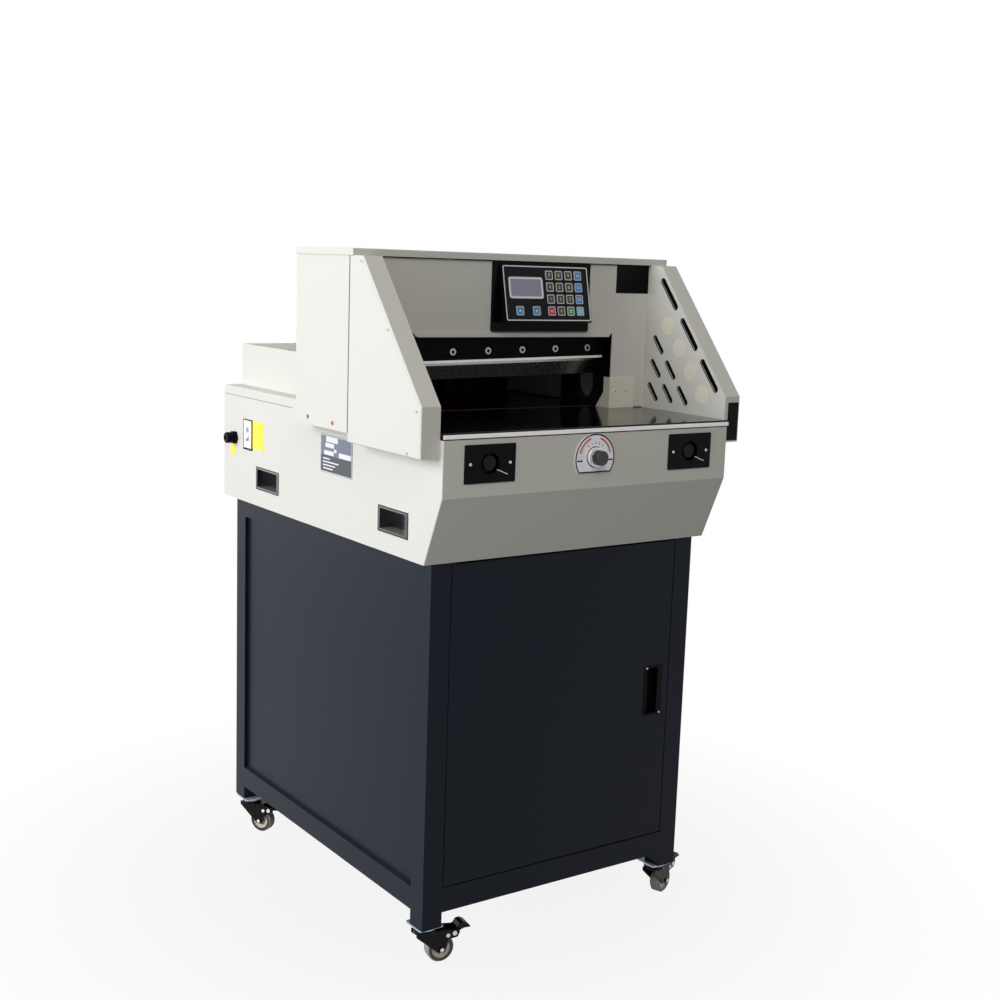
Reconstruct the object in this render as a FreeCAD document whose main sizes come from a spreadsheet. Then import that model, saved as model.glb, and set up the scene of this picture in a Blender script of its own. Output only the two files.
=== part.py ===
import FreeCAD, Part

# Electric guillotine paper cutter on a cabinet with castors.
# Frame: Z up from the floor, the operator stands on the -Y side, X to the operator's right,
# origin on the floor under the middle of the machine. Lengths in millimetres, angles in degrees.
# "Depth" values are measured from the front face of the apron towards the back.
import math
import os

import Sketcher
from FreeCAD import Placement, Rotation, Vector

doc = FreeCAD.newDocument("guillotine_paper_cutter")
sheet = doc.addObject("Spreadsheet::Sheet", "Sizes")
NODES = {}


# ---------------------------------------------------------------- sizes and their expressions
class Dim:
    """A length that carries its value together with the sheet expression it comes from."""

    def __init__(self, value, text):
        self.value = value
        self.text = text

    def __add__(self, other):
        other = as_dim(other)
        return Dim(self.value + other.value, f"({self.text} + {other.text})")

    def __sub__(self, other):
        other = as_dim(other)
        return Dim(self.value - other.value, f"({self.text} - {other.text})")

    def __rsub__(self, other):
        return as_dim(other) - self

    def __mul__(self, factor):
        factor = as_dim(factor)
        return Dim(self.value * factor.value, f"({self.text} * {factor.text})")

    def __truediv__(self, divisor):
        divisor = as_dim(divisor)
        return Dim(self.value / divisor.value, f"({self.text} / {divisor.text})")

    def __neg__(self):
        return Dim(-self.value, f"(-1 * {self.text})")

    __radd__ = __add__
    __rmul__ = __mul__


def as_dim(number):
    return number if isinstance(number, Dim) else Dim(float(number), repr(float(number)))


def size(alias, value):
    """Write one driving dimension into the sheet and return it."""
    cell = f"A{len(sheet.getUsedCells()) + 1}"
    sheet.set(cell, str(value))
    sheet.setAlias(cell, alias)
    return Dim(float(value), f"Sizes.{alias}")


def trig(name, angle):
    """Sine, cosine or tangent of a sheet angle given in degrees."""
    return Dim(getattr(math, name)(math.radians(angle.value)), f"{name}({angle.text} * 1 deg)")


def bind(thing, path, length):
    thing.setExpression(path, as_dim(length).text)


# machine housing
machine_height = size("MachineHeight", 1240)
housing_height = size("HousingHeight", 513)
base_bottom = machine_height - housing_height
base_width = size("BaseWidth", 620)
base_depth = size("BaseDepth", 840)
half_base = base_width / 2
base_height = size("BaseHeight", 213)
apron_bend = size("ApronBend", 118)
chin_setback = size("ChinSetback", 50)
shell_wall = size("ShellWall", 2.5)
sheet_wall = size("SheetWall", 1.5)
shell_radius = size("ShellRadius", 2)
knob_reach = size("KnobReach", 24)
seat_gap = size("SeatGap", 0.3)
table_thickness = size("TableThickness", 12)
trim_thickness = size("TrimThickness", 3)
trim_height = size("TrimHeight", 7)
trim_lift = size("TrimLift", 2)
lid_height = size("LidHeight", 17)
lid_border = size("LidBorder", 70)

# head: guards, columns, cap and fascia
cut_depth = size("CutDepth", 297)
fascia_front = cut_depth - size("HeadClear", 56)
guard_thickness = size("GuardThickness", 36.7)
guard_front = size("GuardFront", 9)
guard_shoulder = base_bottom + size("GuardShoulder", 267)
guard_bottom = base_bottom + size("GuardBottom", 183)
guard_top_front = fascia_front - size("GuardSetback", 37)
guard_rear = fascia_front + size("GuardOverlap", 8)
column_front = fascia_front + size("ColumnStep", 10)
column_rear = cut_depth + size("ColumnBehind", 149)
column_bottom = base_bottom + size("ColumnBottom", 198)
cap_front = fascia_front - size("CapOverhang", 6)
cap_lip = size("CapLip", 12)
guard_top = machine_height - cap_lip
fascia_wall = size("FasciaWall", 2)
throat_width = base_width - size("ThroatSurround", 170)
throat_top = base_bottom + size("ThroatTop", 363)
throat_corner = size("ThroatCorner", 9)
lip_height = size("LipHeight", 8)
dust_width = base_width - size("DustSurround", 76)
dust_height = size("DustHeight", 84)
dust_rear_inset = size("DustRearInset", 3)

# frames inside the head
frame_inner = half_base - size("FrameInset", 48)
frame_wall = size("FrameWall", 22)
frame_bottom = base_bottom + size("FrameBottom", 143)
frame_hole = size("FrameHole", 70)
beam_bottom = base_bottom + size("BeamBottom", 371)
beam_rear = cut_depth + size("BeamBehind", 55)
bed_front = cut_depth - size("BedAhead", 47)
bed_rear = cut_depth + size("BedBehind", 48)
bed_leg = size("BedLeg", 12)
rear_table_half = half_base - size("RearTableInset", 80)
table_rear = base_depth - size("TableRearInset", 6)

# knife
knife_lift = size("KnifeLift", 60.2)
knife_offset = size("KnifeOffset", 9)
knife_tilt = size("KnifeTilt", 1.1)
stroke_angle = size("StrokeAngle", 15)
blade_length = base_width - size("BladeSurround", 134)
blade_height = size("BladeHeight", 98)
blade_thickness = size("BladeThickness", 10.5)
blade_bevel = size("BladeBevel", 26)
bar_length = base_width - size("BarSurround", 140)
bar_shift = size("BarShift", -8)
bar_thickness = size("BarThickness", 25)
bar_bottom = size("BarBottom", 33)
bar_height = size("BarHeight", 122)
bolt_pitch = size("BoltPitch", 77)
bolt_head = size("BoltHead", 18)
bolt_level = size("BoltLevel", 52)
block_width = size("BlockWidth", 40)
block_length = size("BlockLength", 100)
block_foot = size("BlockFoot", 28)
block_spacing = base_width - size("BlockSurround", 320)
block_level = size("BlockLevel", 133)
block_pin = size("BlockPin", 16)
pin_slot = size("PinSlot", 6.5)
rail_width = size("RailWidth", 16)
rail_foot = size("RailFoot", 24)
rail_head = size("RailHead", 68)
fit_gap = size("FitGap", 0.05)
stick_width = size("StickWidth", 14)
stick_half = half_base - size("StickInset", 84)

# knife drive
rod_centre = half_base - size("RodInset", 62)
rod_width = size("RodWidth", 8)
rod_depth = size("RodDepth", 16)
rod_eye = size("RodEye", 18)
rod_pin = size("RodPin", 8)
rod_length = size("RodLength", 226)
crank_radius = size("CrankRadius", 27.5)
crank_diameter = size("CrankDiameter", 84)
crank_thickness = size("CrankThickness", 14)
crank_pin = size("CrankPin", 10)
shaft_diameter = size("ShaftDiameter", 24)
reducer_width = size("ReducerWidth", 110)
reducer_depth = size("ReducerDepth", 92)
motor_diameter = size("MotorDiameter", 110)
motor_length = size("MotorLength", 230)

# clamp
clamp_bottom = base_bottom + size("ClampBottom", 293)
clamp_height = size("ClampHeight", 72)
clamp_half = half_base - size("ClampInset", 88)
clamp_depth = size("ClampDepth", 42)
clamp_gap = size("ClampGap", 1.5)
clamp_rod = size("ClampRod", 20)
clamp_rod_spacing = base_width - size("ClampRodSurround", 240)
clamp_spindle = size("ClampSpindle", 18)
clamp_nut_diameter = size("ClampNutDiameter", 44)
clamp_nut_height = size("ClampNutHeight", 30)
clamp_nut_level = base_bottom + size("ClampNutLevel", 433)

# back gauge
gauge_depth = size("GaugeDepth", 565)
gauge_half = half_base - size("GaugeInset", 89)
gauge_height = size("GaugeHeight", 70)
finger_count = 10
finger_width = size("FingerWidth", 23)
finger_pitch = (gauge_half * 2 - fascia_wall) / finger_count
finger_depth = size("FingerDepth", 25)
finger_height = size("FingerHeight", 52)
gauge_plate = size("GaugePlate", 10)
gauge_nut_half = size("GaugeNutHalf", 50)
gauge_nut_length = size("GaugeNutLength", 30)
gauge_slot = size("GaugeSlot", 18)
screw_diameter = size("ScrewDiameter", 16)
screw_level = base_bottom + size("ScrewLevel", 178)
slide_rod = size("SlideRod", 12)
slide_rod_spacing = size("SlideRodSpacing", 70)
bearing_depth = base_depth - size("BearingInset", 72)
bearing_thickness = size("BearingThickness", 8)
stepper_size = size("StepperSize", 57)
stepper_length = size("StepperLength", 52)

# controls
panel_left = size("PanelLeft", -61)
panel_width = size("PanelWidth", 221)
panel_bottom = base_bottom + size("PanelBottom", 373.5)
panel_height = size("PanelHeight", 126)
panel_flange = size("PanelFlange", 6)
face_angle = size("FaceAngle", 12)
face_width = size("FaceWidth", 193)
face_height = size("FaceHeight", 101)
face_thickness = size("FaceThickness", 2.5)
face_border = size("FaceBorder", 2.5)
face_rise = size("FaceRise", 6.5)
face_radius = size("FaceRadius", 4)
key_size = size("KeySize", 17)
key_pitch = size("KeyPitch", 22)
key_margin = size("KeyMargin", 24)
key_rise = size("KeyRise", 0.8)
key_rows = 4
window_inset = size("WindowInset", 14.5)
window_width = size("WindowWidth", 70)
window_height = size("WindowHeight", 33)
button_spacing = base_width - size("ButtonSurround", 183)
control_level = base_bottom + size("ControlLevel", 172.5)
button_plate_width = size("ButtonPlateWidth", 101)
button_plate_height = size("ButtonPlateHeight", 64)
button_plate_wall = size("ButtonPlateWall", 2)
button_diameter = size("ButtonDiameter", 26)
button_well = size("ButtonWell", 40)
button_well_depth = size("ButtonWellDepth", 12)
button_travel = size("ButtonTravel", 4)
dial_radius = size("DialRadius", 43)
dial_height = size("DialHeight", 68)
dial_drop = size("DialDrop", 2.5)
knob_diameter = size("KnobDiameter", 26)
collar_diameter = size("CollarDiameter", 34)

# side of the base
grip_width = size("GripWidth", 92)
grip_height = size("GripHeight", 40)
grip_depth = size("GripDepth", 26)
grip_front = size("GripFront", 150)
grip_rear = base_depth - size("GripRearInset", 204)
grip_level = base_bottom + size("GripLevel", 57)
breaker_centre = base_depth - size("BreakerInset", 114)
breaker_level = base_bottom + size("BreakerLevel", 139)
breaker_width = size("BreakerWidth", 34)
breaker_height = size("BreakerHeight", 56)
breaker_depth = size("BreakerDepth", 60)
gland_centre = base_depth - size("GlandInset", 54)
gland_level = base_bottom + size("GlandLevel", 126)
gland_diameter = size("GlandDiameter", 28)

# cabinet
cabinet_inset = size("CabinetInset", 20)
cabinet_front = size("CabinetFront", 57)
post_size = size("PostSize", 40)
post_wall = size("PostWall", 2)
post_bottom = size("PostBottom", 74)
rail_bottom = size("RailBottom", 101)
foot_rail = size("FootRail", 44)
panel_recess = size("PanelRecess", 7)
door_gap = size("DoorGap", 1.5)
door_bottom = size("DoorBottom", 148)
door_top_gap = size("DoorTopGap", 5)
door_depth = size("DoorDepth", 18)
hinge_inset = size("HingeInset", 3.5)
hinge_pin = size("HingePin", 3.4)
hinge_lug = size("HingeLug", 10)
pull_centre = half_base - size("PullInset", 98)
pull_level = size("PullLevel", 436)
pull_width = size("PullWidth", 38)
pull_height = size("PullHeight", 93)

# castors
castor_inset_x = size("CastorInsetX", 24)
castor_inset_y = size("CastorInsetY", 29)
castor_plate = size("CastorPlate", 50)
castor_plate_wall = size("CastorPlateWall", 3)
race_diameter = size("RaceDiameter", 40)
race_height = size("RaceHeight", 7)
wheel_diameter = size("WheelDiameter", 50)
wheel_width = size("WheelWidth", 21)
trail = size("Trail", 28)
fork_wall = size("ForkWall", 2.5)
axle_diameter = size("AxleDiameter", 8)
fork_reach = size("ForkReach", 62)
pedal_back = size("PedalBack", 24)
pedal_level = size("PedalLevel", 52)
pedal_length = size("PedalLength", 31)
turn_front_left = size("TurnFrontLeft", 80)
turn_front_right = size("TurnFrontRight", 110)
turn_rear_left = size("TurnRearLeft", 30)
turn_rear_right = size("TurnRearRight", 32)

# side lay in the throat
fence_width = size("FenceWidth", 62)
fence_height = size("FenceHeight", 60)
fence_wall = size("FenceWall", 2)
fence_foot = size("FenceFoot", 41)
fence_head = size("FenceHead", 19)
fence_step = size("FenceStep", 30)

# places that several pieces share
apron = (knob_reach - base_depth) / 2
base_top = base_bottom + base_height
table_top = base_top + table_thickness
guard_inner = half_base + seat_gap
guard_outer = guard_inner + guard_thickness
column_top = machine_height - sheet_wall - seat_gap
cap_half = guard_outer + seat_gap + sheet_wall
lid_top = base_top + lid_height
dust_top = lid_top + dust_height
half_cabinet = half_base - cabinet_inset
cabinet_rear = base_depth - cabinet_inset
rail_top = rail_bottom + foot_rail
edge_level = table_top + knife_lift
half_throat = throat_width / 2


def depth(distance):
    """Y of a plane that lies this far behind the face of the apron."""
    return apron + distance


# ---------------------------------------------------------------- modelling helpers
PLANE_ROLES = {"XY": "XY_Plane", "XZ": "XZ_Plane", "YZ": "YZ_Plane"}


class Piece:
    """One sub-part: a PartDesign body grown from outlines that are bound to the sheet."""

    def __init__(self, label, node=True):
        self.body = doc.addObject("PartDesign::Body", label)
        self.body.Label = label
        if node:
            NODES[label] = self.body

    def drawing(self, plane, start):
        """An empty sketch on the plane, moved to the given place along its axis."""
        sketch = self.body.newObject("Sketcher::SketchObject", "Outline")
        features = self.body.Origin.OriginFeatures
        datum = next(one for one in features if one.Role == PLANE_ROLES[plane])
        sketch.AttachmentSupport = (datum, [""])
        sketch.MapMode = "FlatFace"
        bind(sketch, "AttachmentOffset.Base.z", -as_dim(start) if plane == "XZ" else start)
        return sketch

    def extrude(self, kind, plane, start, length, outlines):
        """Pad or pocket the outlines from start towards the positive axis."""
        sketch = self.drawing(plane, start)
        for outline in outlines:
            outline(sketch)
        feature = self.body.newObject("PartDesign::" + kind, kind)
        feature.Profile = sketch
        bind(feature, "Length", length)
        feature.Reversed = (plane == "XZ") == (kind == "Pad")
        sketch.Visibility = False
        return self

    def add(self, plane, start, length, *outlines):
        return self.extrude("Pad", plane, start, length, outlines)

    def cut(self, plane, start, length, *outlines):
        return self.extrude("Pocket", plane, start, length, outlines)

    def spin(self, plane, outline, axis):
        """Revolve the outline fully about the sketch's H_Axis or V_Axis."""
        sketch = self.drawing(plane, 0)
        outline(sketch)
        feature = self.body.newObject("PartDesign::Revolution", "Revolution")
        feature.Profile = sketch
        feature.ReferenceAxis = (sketch, [axis])
        feature.Angle = 360
        return self

    def round(self, radius, pick):
        """Fillet the edges that the test picks."""
        return self.dress("Fillet", "Radius", radius, pick)

    def bevel(self, length, pick):
        """Chamfer the edges that the test picks."""
        return self.dress("Chamfer", "Size", length, pick)

    def dress(self, kind, path, amount, pick):
        doc.recompute()
        base = self.body.Tip
        names = [f"Edge{i}" for i, edge in enumerate(base.Shape.Edges, 1) if pick(edge)]
        feature = self.body.newObject("PartDesign::" + kind, kind)
        feature.Base = (base, names)
        bind(feature, path, amount)
        return self

    def place(self, x=0, y=0, z=0, axis=None, angle=None):
        """Put the body at a bound place, turned about an axis through that place."""
        if axis is not None:
            self.body.Placement = Placement(Vector(), Rotation(axis, as_dim(angle).value))
            bind(self.body, "Placement.Rotation.Angle", angle)
        for path, length in (("x", x), ("y", y), ("z", z)):
            bind(self.body, "Placement.Base." + path, length)
        return self


def pin_point(sketch, edge, end, u, v):
    """Hold one point of the sketch at coordinates taken from the sheet."""
    for kind, length in (("DistanceX", as_dim(u)), ("DistanceY", as_dim(v))):
        index = sketch.addConstraint(Sketcher.Constraint(kind, -1, 1, edge, end, length.value))
        sketch.setExpression(f"Constraints[{index}]", length.text)


def polygon(*corners):
    """A closed outline of straight edges."""
    def draw(sketch):
        first = sketch.GeometryCount
        points = [Vector(as_dim(u).value, as_dim(v).value, 0) for u, v in corners]
        for start, end in zip(points, points[1:] + points[:1]):
            sketch.addGeometry(Part.LineSegment(start, end), False)
        for i, (u, v) in enumerate(corners):
            following = first + (i + 1) % len(corners)
            sketch.addConstraint(Sketcher.Constraint("Coincident", first + i, 2, following, 1))
            pin_point(sketch, first + i, 1, u, v)
    return draw


def box(u_low, u_high, v_low, v_high):
    return polygon((u_low, v_low), (u_high, v_low), (u_high, v_high), (u_low, v_high))


def centred(u, v, width, height):
    """A rectangle about its centre."""
    return box(u - width / 2, u + width / 2, v - height / 2, v + height / 2)


def disc(u, v, diameter):
    """A full circle."""
    def draw(sketch):
        centre = Vector(as_dim(u).value, as_dim(v).value, 0)
        round_edge = Part.Circle(centre, Vector(0, 0, 1), as_dim(diameter).value / 2)
        index = sketch.addGeometry(round_edge, False)
        pin_point(sketch, index, 3, u, v)
        held = sketch.addConstraint(Sketcher.Constraint("Diameter", index, as_dim(diameter).value))
        sketch.setExpression(f"Constraints[{held}]", as_dim(diameter).text)
    return draw


def runs_along(direction):
    """A test for straight edges that lie along a direction."""
    def pick(edge):
        if not isinstance(edge.Curve, Part.Line):
            return False
        return abs(abs(edge.Curve.Direction.dot(direction)) - 1) < 1e-6
    return pick


def both(first, second):
    return lambda edge: first(edge) and second(edge)


def near(axis, place, reach=0.01):
    """A test for edges whose middle lies at a place along an axis."""
    return lambda edge: abs(getattr(edge.CenterOfMass, axis) - as_dim(place).value) < reach


ALONG_X, ALONG_Y, ALONG_Z = Vector(1, 0, 0), Vector(0, 1, 0), Vector(0, 0, 1)
ROD_TURNS = {
    "X": Rotation(ALONG_Y, 90),
    "Y": Rotation(ALONG_X, -90),
    "Z": Rotation(),
}


def rod(axis, x, y, z, diameter, length):
    """A plain cylinder that starts at the point and runs along the axis."""
    bar = doc.addObject("Part::Cylinder", "Rod")
    bar.Placement = Placement(Vector(), ROD_TURNS[axis])
    bind(bar, "Radius", as_dim(diameter) / 2)
    bind(bar, "Height", length)
    for path, value in (("x", x), ("y", y), ("z", z)):
        bind(bar, "Placement.Base." + path, value)
    return bar


def brick(x, y, z):
    """A plain block between three pairs of planes."""
    block = doc.addObject("Part::Box", "Block")
    for path, side, (low, high) in (("x", "Length", x), ("y", "Width", y), ("z", "Height", z)):
        bind(block, side, as_dim(high) - low)
        bind(block, "Placement.Base." + path, low)
    return block


def joined(label, *shapes):
    """One solid fused from several."""
    whole = doc.addObject("Part::MultiFuse", label)
    whole.Shapes = list(shapes)
    whole.Label = label
    whole.Refine = True
    NODES[label] = whole
    return whole


def group(label, *shapes):
    """Separate solids that share one node."""
    whole = doc.addObject("Part::Compound", label)
    whole.Links = [shape.body if isinstance(shape, Piece) else shape for shape in shapes]
    whole.Label = label
    NODES[label] = whole
    return whole


def sides(label, build):
    """Make a left and a right version of a piece; side is -1 or +1."""
    for name, side in (("left", -1), ("right", 1)):
        build(f"{label}_{name}", side)


def span(side, inner, outer):
    """Lower and upper X of a slab that lies between two distances from the middle."""
    return (inner, outer) if side > 0 else (-outer, -inner)


# ---------------------------------------------------------------- lower housing
def make_base_shell():
    """Folded tray: an upright apron that bends back to a chin, two sides, a back and a floor."""
    wall = shell_wall
    bend = base_bottom + apron_bend
    slope = chin_setback / apron_bend
    shell = Piece("base_shell")
    shell.add("YZ", -half_base, base_width, polygon(
        (depth(0), bend), (depth(0), base_top), (depth(base_depth), base_top),
        (depth(base_depth), base_bottom), (depth(chin_setback), base_bottom)))
    shell.round(shell_radius, both(runs_along(ALONG_X), near("z", bend)))
    shell.round(shell_radius, both(runs_along(ALONG_Z), near("y", depth(0))))
    shell.cut("YZ", wall - half_base, base_width - wall * 2, polygon(
        (depth(wall), bend), (depth(wall), base_top + wall),
        (depth(base_depth - wall), base_top + wall),
        (depth(base_depth - wall), base_bottom + wall),
        (depth(chin_setback + wall - slope * wall), base_bottom + wall)))
    for side in (-1, 1):
        start = -half_base - wall if side < 0 else half_base - wall * 2
        openings = [centred(depth(centre), grip_level, grip_width, grip_height)
                    for centre in (grip_front, grip_rear)]
        if side < 0:
            openings.append(centred(depth(breaker_centre), breaker_level,
                                    breaker_width, breaker_height))
            openings.append(disc(depth(gland_centre), gland_level, gland_diameter * 0.7))
        shell.cut("YZ", start, wall * 3, *openings)
    shell.cut("XZ", depth(-wall), wall * 3,
              disc(-button_spacing / 2, control_level, button_well + seat_gap * 2),
              disc(button_spacing / 2, control_level, button_well + seat_gap * 2),
              disc(0, control_level, collar_diameter * 0.6))


def make_front_trim():
    """Bright strip along the front edge of the table, with its ends turned smooth."""
    strip = Piece("front_trim")
    strip.add("XY", base_top + trim_lift, trim_height,
              box(-half_base, half_base, depth(-trim_thickness), depth(0)))
    strip.round(trim_thickness * 0.4,
                both(runs_along(ALONG_X), near("y", depth(-trim_thickness))))


def make_work_table():
    """Ground steel table: wide in front of the knife, narrow between the side frames."""
    table = Piece("work_table")
    table.add("XY", base_top, table_thickness, polygon(
        (-half_base, depth(0)), (half_base, depth(0)),
        (half_base, depth(fascia_front - seat_gap)),
        (rear_table_half, depth(fascia_front - seat_gap)),
        (rear_table_half, depth(table_rear)), (-rear_table_half, depth(table_rear)),
        (-rear_table_half, depth(fascia_front - seat_gap)),
        (-half_base, depth(fascia_front - seat_gap))))
    stick_slot = stick_half + seat_gap
    table.cut("XY", base_top - table_thickness, table_thickness * 3,
              box(-stick_slot, stick_slot, depth(cut_depth - stick_width / 2 - seat_gap),
                  depth(cut_depth + stick_width / 2 + seat_gap)),
              box(-gauge_slot / 2, gauge_slot / 2, depth(bed_rear), depth(bearing_depth)))
    table.bevel(table_thickness / 12, both(runs_along(ALONG_X), near("z", table_top)))


def make_cut_stick():
    """Plastic stick under the knife edge, flush with the table."""
    stick = Piece("cut_stick")
    stick.add("XY", base_top, table_thickness,
              box(-stick_half, stick_half, depth(cut_depth - stick_width / 2),
                  depth(cut_depth + stick_width / 2)))


def make_rear_lid():
    """Inverted tray on the base behind the head, open in the middle for the table."""
    front = column_rear + seat_gap
    lid = Piece("rear_lid")
    lid.add("XY", base_top, lid_height,
            box(-half_base, half_base, depth(front), depth(base_depth)))
    lid.round(shell_radius, both(runs_along(ALONG_X), near("z", lid_top)))
    lid.round(shell_radius, both(runs_along(ALONG_Y), near("z", lid_top)))
    lid.cut("XY", base_top - sheet_wall, lid_height,
            box(sheet_wall - half_base, half_base - sheet_wall, depth(front - sheet_wall),
                depth(base_depth - sheet_wall)))
    opening = half_base - lid_border
    lid.cut("XY", base_top, lid_height * 2,
            box(-opening, opening, depth(front - sheet_wall), depth(base_depth - lid_border / 5)))


def make_dust_cover():
    """Hood over the rear table, open towards the head."""
    half = dust_width / 2
    rear = base_depth - dust_rear_inset
    front = column_rear + seat_gap
    hood = Piece("dust_cover")
    hood.add("XY", lid_top, dust_height, box(-half, half, depth(front), depth(rear)))
    hood.round(shell_radius, both(runs_along(ALONG_Y), near("z", dust_top)))
    hood.round(shell_radius, both(runs_along(ALONG_X), near("z", dust_top)))
    hood.cut("XY", lid_top - sheet_wall, dust_height,
             box(sheet_wall - half, half - sheet_wall, depth(front - sheet_wall),
                 depth(rear - sheet_wall)))


# ---------------------------------------------------------------- head
def guard_outline(grow):
    """Side view of a guard: upright at the foot, then sloping back; grow moves it inwards."""
    return polygon(
        (depth(guard_front + grow), guard_bottom + grow),
        (depth(guard_rear), guard_bottom + grow),
        (depth(guard_rear), guard_top - grow),
        (depth(guard_top_front + grow), guard_top - grow),
        (depth(guard_front + grow), guard_shoulder - grow / 4))


def make_guard(label, side):
    """Sheet-metal guard beside the table, open towards the throat side."""
    low, high = span(side, guard_inner, guard_outer)
    guard = Piece(label)
    guard.add("YZ", low, high - low, guard_outline(as_dim(0)))
    guard.round(shell_radius, both(near("x", guard_outer * side), lambda edge: edge.Length > 20))
    start = low + sheet_wall if side < 0 else low - sheet_wall
    guard.cut("YZ", start, high - low, guard_outline(sheet_wall))


def slanted_slot(y, z, length, width):
    """Ends and straight part of a slot that runs parallel to the slope of a guard."""
    run = guard_top_front - guard_front
    rise = guard_top - guard_shoulder
    slope = Dim(math.hypot(run.value, rise.value), f"sqrt({run.text}^2 + {rise.text}^2)")
    along_y, along_z = run / slope, rise / slope
    half, side = length / 2, width / 2
    ends = [disc(y + along_y * half * sign, z + along_z * half * sign, width)
            for sign in (-1, 1)]
    body = polygon(
        (y - along_y * half - along_z * side, z - along_z * half + along_y * side),
        (y + along_y * half - along_z * side, z + along_z * half + along_y * side),
        (y + along_y * half + along_z * side, z + along_z * half - along_y * side),
        (y - along_y * half + along_z * side, z - along_z * half - along_y * side))
    return ends, body


long_slot = size("LongSlot", 61)
long_slot_width = size("LongSlotWidth", 9)
long_slot_pitch = size("LongSlotPitch", 61)
short_slot = size("ShortSlot", 32)
short_slot_width = size("ShortSlotWidth", 7)
short_slot_pitch = size("ShortSlotPitch", 43)
short_slot_rise = size("ShortSlotRise", 46)
slot_rows = 3


def make_guard_liner(side):
    """Inner panel of a guard: slots for the light beams and a triangle of vent slots."""
    low, high = span(side, guard_inner, guard_inner + sheet_wall)
    liner = Piece("guard_liner", node=False)
    liner.add("YZ", low, high - low, guard_outline(sheet_wall + seat_gap))
    slope = (guard_top - guard_shoulder) / (guard_top_front - guard_front)
    slots = []
    for i in range(slot_rows):
        step = long_slot_pitch * (i - 1)
        slots.append(slanted_slot(depth((guard_front + guard_top_front) / 2 + 11 + step),
                                  (guard_top + guard_shoulder) / 2 - 9 + step * slope,
                                  long_slot, long_slot_width))
        for k in range(slot_rows - i):
            slots.append(slanted_slot(
                depth(guard_rear - 36 - short_slot_pitch * k - 5 * i),
                guard_shoulder - 9 + short_slot_rise * i, short_slot, short_slot_width))
    start = low - sheet_wall
    liner.cut("YZ", start, sheet_wall * 3, *[body for ends, body in slots])
    liner.cut("YZ", start, sheet_wall * 3, *[end for ends, body in slots for end in ends])
    return liner


def make_column_cover(label, side):
    """Cover round a side frame: outer wall with a rear return that clears the rear lid."""
    low, high = span(side, dust_width / 2 + seat_gap, guard_outer)
    cover = Piece(label)
    cover.add("XY", column_bottom, column_top - column_bottom,
              box(low, high, depth(column_front), depth(column_rear)))
    cover.round(shell_radius, both(runs_along(ALONG_Z), near("x", guard_outer * side)))
    hollow = span(side, dust_width / 2 - sheet_wall, guard_outer - sheet_wall)
    cover.cut("XY", column_bottom - sheet_wall, machine_height - column_bottom,
              box(*hollow, depth(column_front + sheet_wall), depth(column_rear - sheet_wall)))
    inside = span(side, dust_width / 2 - sheet_wall, guard_inner)
    cover.cut("XY", column_bottom - sheet_wall, machine_height - column_bottom,
              box(*inside, depth(column_front - sheet_wall), depth(column_rear - sheet_wall * 2)))
    cover.cut("XY", column_bottom - sheet_wall, lid_top - column_bottom + sheet_wall + seat_gap,
              box(*inside, depth(column_front), depth(column_rear + sheet_wall)))


def make_top_cap():
    """Shallow lid over the whole head with its edges turned down."""
    cap = Piece("top_cap")
    rear = column_rear + seat_gap + sheet_wall
    low = machine_height - cap_lip
    cap.add("XY", low, cap_lip, box(-cap_half, cap_half, depth(cap_front), depth(rear)))
    cap.round(shell_radius, near("z", machine_height))
    cap.cut("XY", low - sheet_wall, cap_lip,
            box(sheet_wall - cap_half, cap_half - sheet_wall,
                depth(cap_front + sheet_wall), depth(rear - sheet_wall)))


def make_fascia():
    """Front plate of the head, with the throat cut up into it and a folded lip above it."""
    top = machine_height - sheet_wall - seat_gap
    half = half_base
    plate = Piece("fascia")
    plate.add("XZ", depth(fascia_front), fascia_wall, polygon(
        (-half, table_top), (-half_throat, table_top),
        (-half_throat, throat_top + throat_corner),
        (-half_throat + throat_corner, throat_top),
        (half_throat - throat_corner, throat_top),
        (half_throat, throat_top + throat_corner),
        (half_throat, table_top), (half, table_top), (half, top), (-half, top)))
    lip_half = half_throat - throat_corner
    plate.add("XZ", depth(fascia_front - fascia_wall), fascia_wall,
              box(-lip_half, lip_half, throat_top, throat_top + lip_height))
    plate.add("XZ", depth(fascia_front), fascia_wall * 6,
              box(-lip_half, lip_half, throat_top, throat_top + fascia_wall))


def make_head_rear_cover():
    """Plate that closes the back of the head above the dust cover."""
    half = dust_width / 2
    plate = Piece("head_rear_cover")
    plate.add("XZ", depth(column_rear - sheet_wall), sheet_wall,
              box(-half, half, dust_top + seat_gap, column_top))
    plate.add("XY", dust_top + seat_gap, sheet_wall,
              box(-half, half, depth(column_rear - sheet_wall * 10), depth(column_rear)))


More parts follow.
